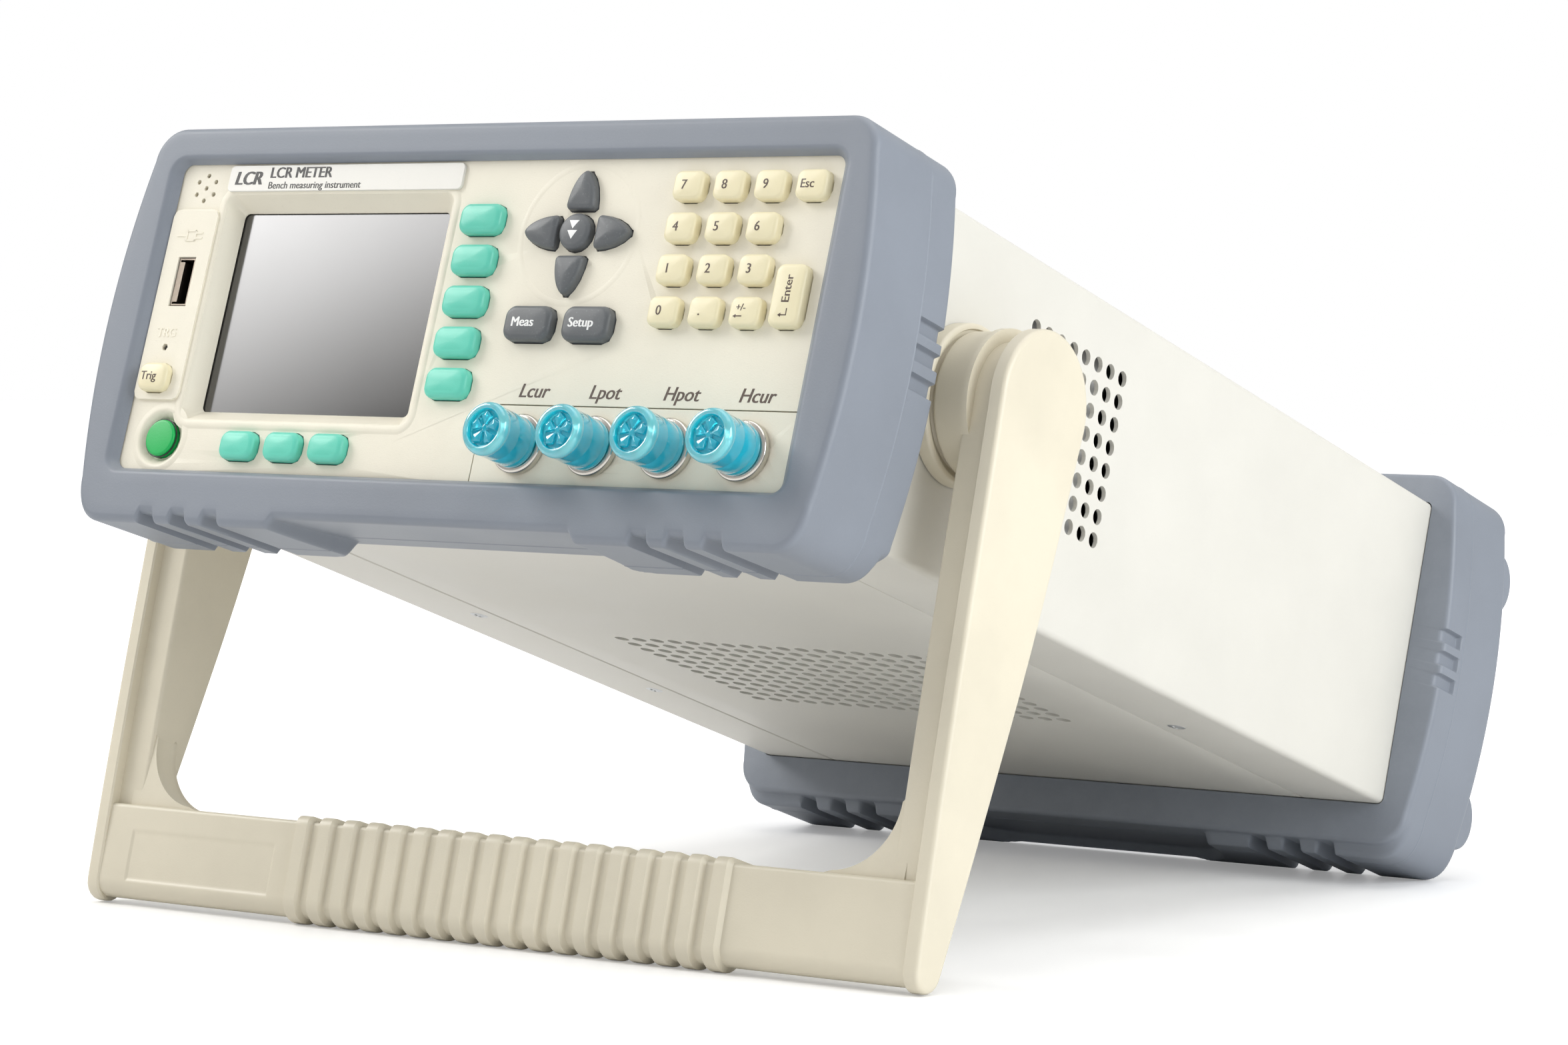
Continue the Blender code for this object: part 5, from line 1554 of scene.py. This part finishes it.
@dataclass
class Rear:
    """What stands on the rear panel: blades, screws, the earth post and a blanking plate."""

    face: float = 331.0
    inlet: tuple[float, float] = (-74.0, -18.0)
    serial: tuple[float, float] = (50.0, -18.0)
    earth: tuple[float, float] = (-48.0, -24.0)
    corners: tuple[tuple[float, float], ...] = ((-98.0, 34.0), (98.0, 34.0), (98.0, -34.0),
                                                 (-40.0, 34.0), (40.0, 34.0))

    def block(self, piece: Moulding, outline: Array, near: float, far: float, edge: float = 0.2,
              finish: int = 0) -> None:
        """A plate or bar along Y with its far rim rolled off."""
        normal = outward(outline)
        rings = [along_y(outline - normal * inset, depth)
                 for inset, depth in ((0.0, near), (0.0, far - edge), (edge * 0.3, far - edge * 0.3),
                                      (edge, far))]
        piece.solid(np.array(rings), finish)

    def inlet_parts(self) -> bpy.types.Object:
        """Three blades in the mains inlet and a fuse drawer above it."""
        piece = Moulding("mains_blades")
        x, z = self.inlet
        for across, up in ((-7.0, -1.6), (0.0, 2.4), (7.0, -1.6)):
            self.block(piece, soft_box(x + across - 1.0, x + across + 1.0, z + up - 2.0, z + up + 2.0,
                                       0.4, 3), self.face - 14.9, self.face - 2.0, 0.4)
        self.block(piece, soft_box(x - 14.0, x + 14.0, z + 10.6, z + 20.0, 1.2, 5), self.face + 0.2,
                   self.face + 2.6, 0.6, 1)
        self.block(piece, soft_box(x - 7.0, x + 7.0, z + 13.4, z + 15.4, 0.5, 4), self.face + 2.5,
                   self.face + 3.2, 0.3, 1)
        return piece.make("case", (NICKEL, BLACK_PLASTIC))

    def plates(self) -> bpy.types.Object:
        """A blanking plate over the option slot."""
        piece = Moulding("option_plate")
        self.block(piece, soft_box(-4.0, 84.0, 2.0, 28.0, 1.5, 5), self.face + 0.2, self.face + 1.4, 0.3)
        return piece.make("case", (CASE_PAINT,))

    def fasteners(self) -> bpy.types.Object:
        """Pan-head screws with crossed slots, the earth post and the interface connector's posts."""
        piece = Moulding("rear_screws")
        places = list(self.corners) + [(0.0, 15.0), (80.0, 15.0)]
        for x, z in places:
            radius = np.concatenate((np.linspace(0.0, 1.8, 12), (2.3, 2.7, 2.8)))[:, None]
            turn = np.linspace(0.0, 2 * pi, 40, endpoint=False)[None]
            a, b = radius * np.cos(turn), radius * np.sin(turn)
            dome = 1.5 * np.sqrt(np.maximum(0.0, 1 - (radius / 2.85) ** 2)) + 0.9
            cross = 0.8 * smooth_step((0.45 - np.minimum(np.abs(a), np.abs(b))) / 0.2)
            height = dome - cross * smooth_step((1.7 - radius) / 0.3)
            rows = np.stack((x + a, self.face + 0.3 + height, z + b), -1)
            base = rows[-1:].copy()
            base[..., 1] = self.face + 0.25
            piece.grid(np.concatenate((rows, base)), wrap_columns=True)
            piece.shape(base[0], [list(range(40))])
        x, z = self.earth
        piece.turned(((0.0, self.face + 0.2), (4.5, self.face + 0.2), (4.5, self.face + 1.2),
                      (2.0, self.face + 1.4), (2.0, self.face + 3.0), (4.2, self.face + 3.2),
                      (4.5, self.face + 3.6), (4.5, self.face + 4.3), (4.0, self.face + 4.5),
                      (0.0, self.face + 4.5)), x, z, 32)
        for side in (-1, 1):
            piece.turned(((0.0, self.face + 0.2), (2.4, self.face + 0.2), (2.4, self.face + 3.4),
                          (2.0, self.face + 3.8), (1.2, self.face + 3.8), (1.2, self.face + 1.2),
                          (0.0, self.face + 1.2)), self.serial[0] + side * 12.5, self.serial[1], 6)
        return piece.make("case", (PLATED_STEEL,))

    def contacts(self) -> bpy.types.Object:
        """The interface connector's dark insert with its nine contacts."""
        piece = Moulding("interface_contacts")
        x, z = self.serial
        front = self.face + 2.0
        outline = evenly(soften(np.repeat(np.array(((x - 7.2, z - 3.4), (x + 7.2, z - 3.4),
                                                    (x + 8.6, z + 3.4), (x - 8.6, z + 3.4))), 3, 0), 2), 80)
        self.block(piece, outline, front - 1.0, front + 0.4, 0.2)
        for count, up in ((4, -1.4), (5, 1.4)):
            for place in range(count):
                piece.turned(((0.0, front), (0.5, front), (0.5, front + 0.6), (0.3, front + 0.8),
                              (0.0, front + 0.8)), x + (place - (count - 1) / 2) * 2.76, z + up, 12,
                             finish=1)
        return piece.make("case", (BLACK_PLASTIC, NICKEL))

    def build(self) -> None:
        """Build everything on the rear."""
        self.inlet_parts()
        self.plates()
        self.fasteners()
        self.contacts()


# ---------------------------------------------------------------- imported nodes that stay

class KeptNodes:
    """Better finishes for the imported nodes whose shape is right."""

    FINISHES = {
        "front_panel": PANEL_PLASTIC, "terminal_plate": PANEL_PLASTIC, "rear_panel": CASE_PAINT,
        "lcd_module": BLACK_PLASTIC, "keypad_board": BOARD_GREEN, "main_board": BOARD_GREEN,
        "power_supply": PLATED_STEEL, "mains_inlet": BLACK_PLASTIC, "serial_port": PLATED_STEEL,
        "usb_port": PORT_SHELL, "speaker": BLACK_PLASTIC,
    }
    ROUNDED = {"front_panel": 0.00022, "terminal_plate": 0.00015, "rear_panel": 0.00015,
               "mains_inlet": 0.0003, "serial_port": 0.0003, "power_supply": 0.0004}

    def dress(self) -> None:
        """Give each kept node its finish, and roll the edges of those that are seen."""
        for name, finish in self.FINISHES.items():
            node = frame["nodes"][name]
            for slot in node.material_slots:
                slot.material = finish.material()
            if name in self.ROUNDED:
                weld = node.modifiers.new("weld", "WELD")
                weld.merge_threshold = 0.00001
                bevel = node.modifiers.new("rolled_edges", "BEVEL")
                bevel.width = self.ROUNDED[name]
                bevel.segments = 2
                bevel.limit_method = "ANGLE"
                bevel.angle_limit = radians(35)
            LOG.info("%s kept", name)


# ---------------------------------------------------------------- studio

@dataclass
class Studio:
    """A pale floor, soft lights and the camera."""

    target: tuple[float, float, float] = (-10.4, -7.6, 101.5)
    azimuth: float = 35.9
    elevation: float = 2.18
    distance: float = 1244.8
    roll: float = 0.89
    lens: float = 104.6
    floor_size: float = 14.0
    floor_lift: tuple[float, float] = (0.22, 0.60)    # how much the paper glows, near and far
    card_place: tuple[float, float, float] = (-1.407, -1.40, 1.027)
    card_size: float = 0.36
    card_power: float = 10.1
    card_lean: float = 1.23
    card_range: tuple[float, float] = (0.756, 1.6)
    floor_drop: float = 0.0002   # metres under z = 0
    sky: tuple[float, float] = (0.53, 1.0)       # strength as a light, and where it is seen

    def aim(self, holder: bpy.types.Object, place: Vector, target: Vector, roll: float = 0.0) -> None:
        """Stand a lamp or camera at a place and turn it to its target."""
        holder.rotation_mode = "QUATERNION"
        holder.location = place
        look = (target - place).to_track_quat("-Z", "Y")
        holder.rotation_quaternion = look @ Quaternion((0, 0, 1), radians(roll))
        bpy.context.scene.collection.objects.link(holder)

    def camera(self) -> None:
        """The camera, on a sphere round its target."""
        data = bpy.data.cameras.new("view")
        data.lens = self.lens
        data.sensor_width = 36.0
        holder = bpy.data.objects.new("view", data)
        a, e = radians(self.azimuth), radians(self.elevation)
        back = Vector((sin(a) * cos(e), -cos(a) * cos(e), sin(e)))
        target = Vector(self.target) * MM
        self.aim(holder, target + back * self.distance * MM, target, self.roll)
        bpy.context.scene.camera = holder

    def lamp(self, name: str, place: tuple[float, float, float], size: float, power: float,
             colour: tuple[float, float, float] = (1.0, 1.0, 1.0)) -> None:
        """One square soft light aimed at the meter."""
        data = bpy.data.lights.new(name, "AREA")
        data.size = size
        data.energy = power
        data.color = colour
        self.aim(bpy.data.objects.new(name, data), Vector(place), Vector((0.0, 0.0, 0.08)))

    def card(self) -> None:
        """A small glowing card in front, unseen by the camera, for the display to mirror.

        Its light grows in a straight line along the card's own height and width.
        """
        side = np.linspace(-0.5, 0.5, 5)
        across, up = np.meshgrid(side, side, indexing="ij")
        out = np.array((0.665, 0.613, -0.427))
        out /= np.linalg.norm(out)
        right = np.cross((0.0, 0.0, 1.0), out)
        right /= np.linalg.norm(right)
        rise = np.cross(out, right)
        middle = np.array(self.card_place)
        points = middle + self.card_size * (across[..., None] * right + up[..., None] * rise)
        index = np.arange(25).reshape(5, 5)
        quads = np.stack((index[:-1, :-1], index[1:, :-1], index[1:, 1:], index[:-1, 1:]), -1)
        mesh = bpy.data.meshes.new("card")
        mesh.from_pydata(points.reshape(-1, 3).tolist(), [], quads.reshape(-1, 4).tolist())
        uv = mesh.uv_layers.new(name="card")
        loops = np.array([loop.vertex_index for loop in mesh.loops])
        uv.data.foreach_set("uv", (np.stack((across.ravel(), up.ravel()), 1)[loops] + 0.5).ravel())
        made = bpy.data.materials.new("card")
        made.use_nodes = True
        lay = Layout(made.node_tree)
        place = lay.add("SeparateXYZ", {0: lay.add("TexCoord").outputs["UV"]})
        glow = lay.math("ADD", place.outputs[1], lay.math("MULTIPLY", place.outputs[0], self.card_lean))
        shader = made.node_tree.nodes["Principled BSDF"]
        shader.inputs["Base Color"].default_value = (0.0, 0.0, 0.0, 1.0)
        shader.inputs["Emission Color"].default_value = (1.0, 0.99, 0.985, 1.0)
        made.node_tree.links.new(lay.ramp(glow, *self.card_range, 0.0, self.card_power),
                                 shader.inputs["Emission Strength"])
        mesh.materials.append(made)
        card = bpy.data.objects.new("card", mesh)
        bpy.context.scene.collection.objects.link(card)
        card.visible_camera = False

    def floor(self) -> None:
        """A wide pale floor: a level grid a little under z = 0, with a glow where it is seen."""
        side = np.linspace(-self.floor_size / 2, self.floor_size / 2, 9)
        x, y = np.meshgrid(side, side, indexing="ij")
        mesh = bpy.data.meshes.new("floor")
        index = np.arange(81).reshape(9, 9)
        quads = np.stack((index[:-1, :-1], index[1:, :-1], index[1:, 1:], index[:-1, 1:]), -1)
        points = np.stack((x, y, 0 * x - self.floor_drop), -1).reshape(-1, 3)
        mesh.from_pydata(points.tolist(), [], quads.reshape(-1, 4).tolist())
        paper = Finish("floor_finish", (0.90, 0.90, 0.905), 0.40, cloud=0.01, speck=0.0, relief=0.0,
                       wear=0.0, dust=0.0).material()
        lay = Layout(paper.node_tree)
        seen = lay.add("LightPath").outputs["Is Camera Ray"]
        away = lay.add("VectorMath", {0: lay.add("TexCoord").outputs["Object"]}, operation="LENGTH")
        lift = lay.ramp(away.outputs["Value"], 0.25, 1.3, *self.floor_lift)
        shader = paper.node_tree.nodes["Principled BSDF"]
        shader.inputs["Emission Color"].default_value = (1.0, 1.0, 1.0, 1.0)
        paper.node_tree.links.new(lay.math("MULTIPLY", seen, lift),
                                  shader.inputs["Emission Strength"])
        mesh.materials.append(paper)
        plane = bpy.data.objects.new("floor", mesh)
        bpy.context.scene.collection.objects.link(plane)

    def build(self) -> None:
        """Set up floor, sky, lights and camera."""
        scene = bpy.context.scene
        scene.view_settings.view_transform = "Standard"
        world = bpy.data.worlds.new("studio")
        world.use_nodes = True
        lay = Layout(world.node_tree)
        sky = world.node_tree.nodes["Background"]
        sky.inputs[0].default_value = (1.0, 1.0, 1.0, 1.0)
        seen = lay.add("LightPath").outputs["Is Camera Ray"]
        world.node_tree.links.new(lay.ramp(seen, 0.0, 1.0, *self.sky), sky.inputs[1])
        scene.world = world
        self.floor()
        self.lamp("overhead", (0.1, 0.3, 2.6), 2.6, 34.0, (1.0, 0.99, 0.97))
        self.lamp("side", (2.1, -0.1, 0.9), 1.3, 33.0, (0.95, 0.98, 1.0))
        self.lamp("front", (-1.9, -0.9, 1.6), 1.0, 33.0, (1.0, 0.99, 0.96))
        self.card()
        self.camera()


def main() -> None:
    """Build the meter's looks in order, then the studio."""
    logging.basicConfig(level=logging.INFO, format="%(name)s: %(message)s")
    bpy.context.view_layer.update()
    Bumper("front_bumper", 33.0, -2.8, (105.2, 41.1, 2.8), (107.7, 42.3, 4.6), -0.3,
           (7.0, 0.4, -6.6), 11.5, -2.8, 30.6, top=50.7, bottom=-53.2, climb=3.2, pad_drop=2.5,
           pad_bend=6.0, edge=2.0, pad_curve=(40.0, 7.0)).build()
    Bumper("rear_bumper", 300.8, 335.5, (104.0, 40.0, 3.0), (104.6, 40.6, 3.4), 331.6,
           (5.5, -1.0, -7.5), 10.0, 303.4, 332.9, feet=(30.0, -40.0)).build()
    Case().build()
    Handle().build()
    KeyPad().build()
    Terminals().build()
    FrontPanel().build()
    Rear().build()
    KeptNodes().dress()
    Studio().build()


if __name__ == "__main__":
    main()
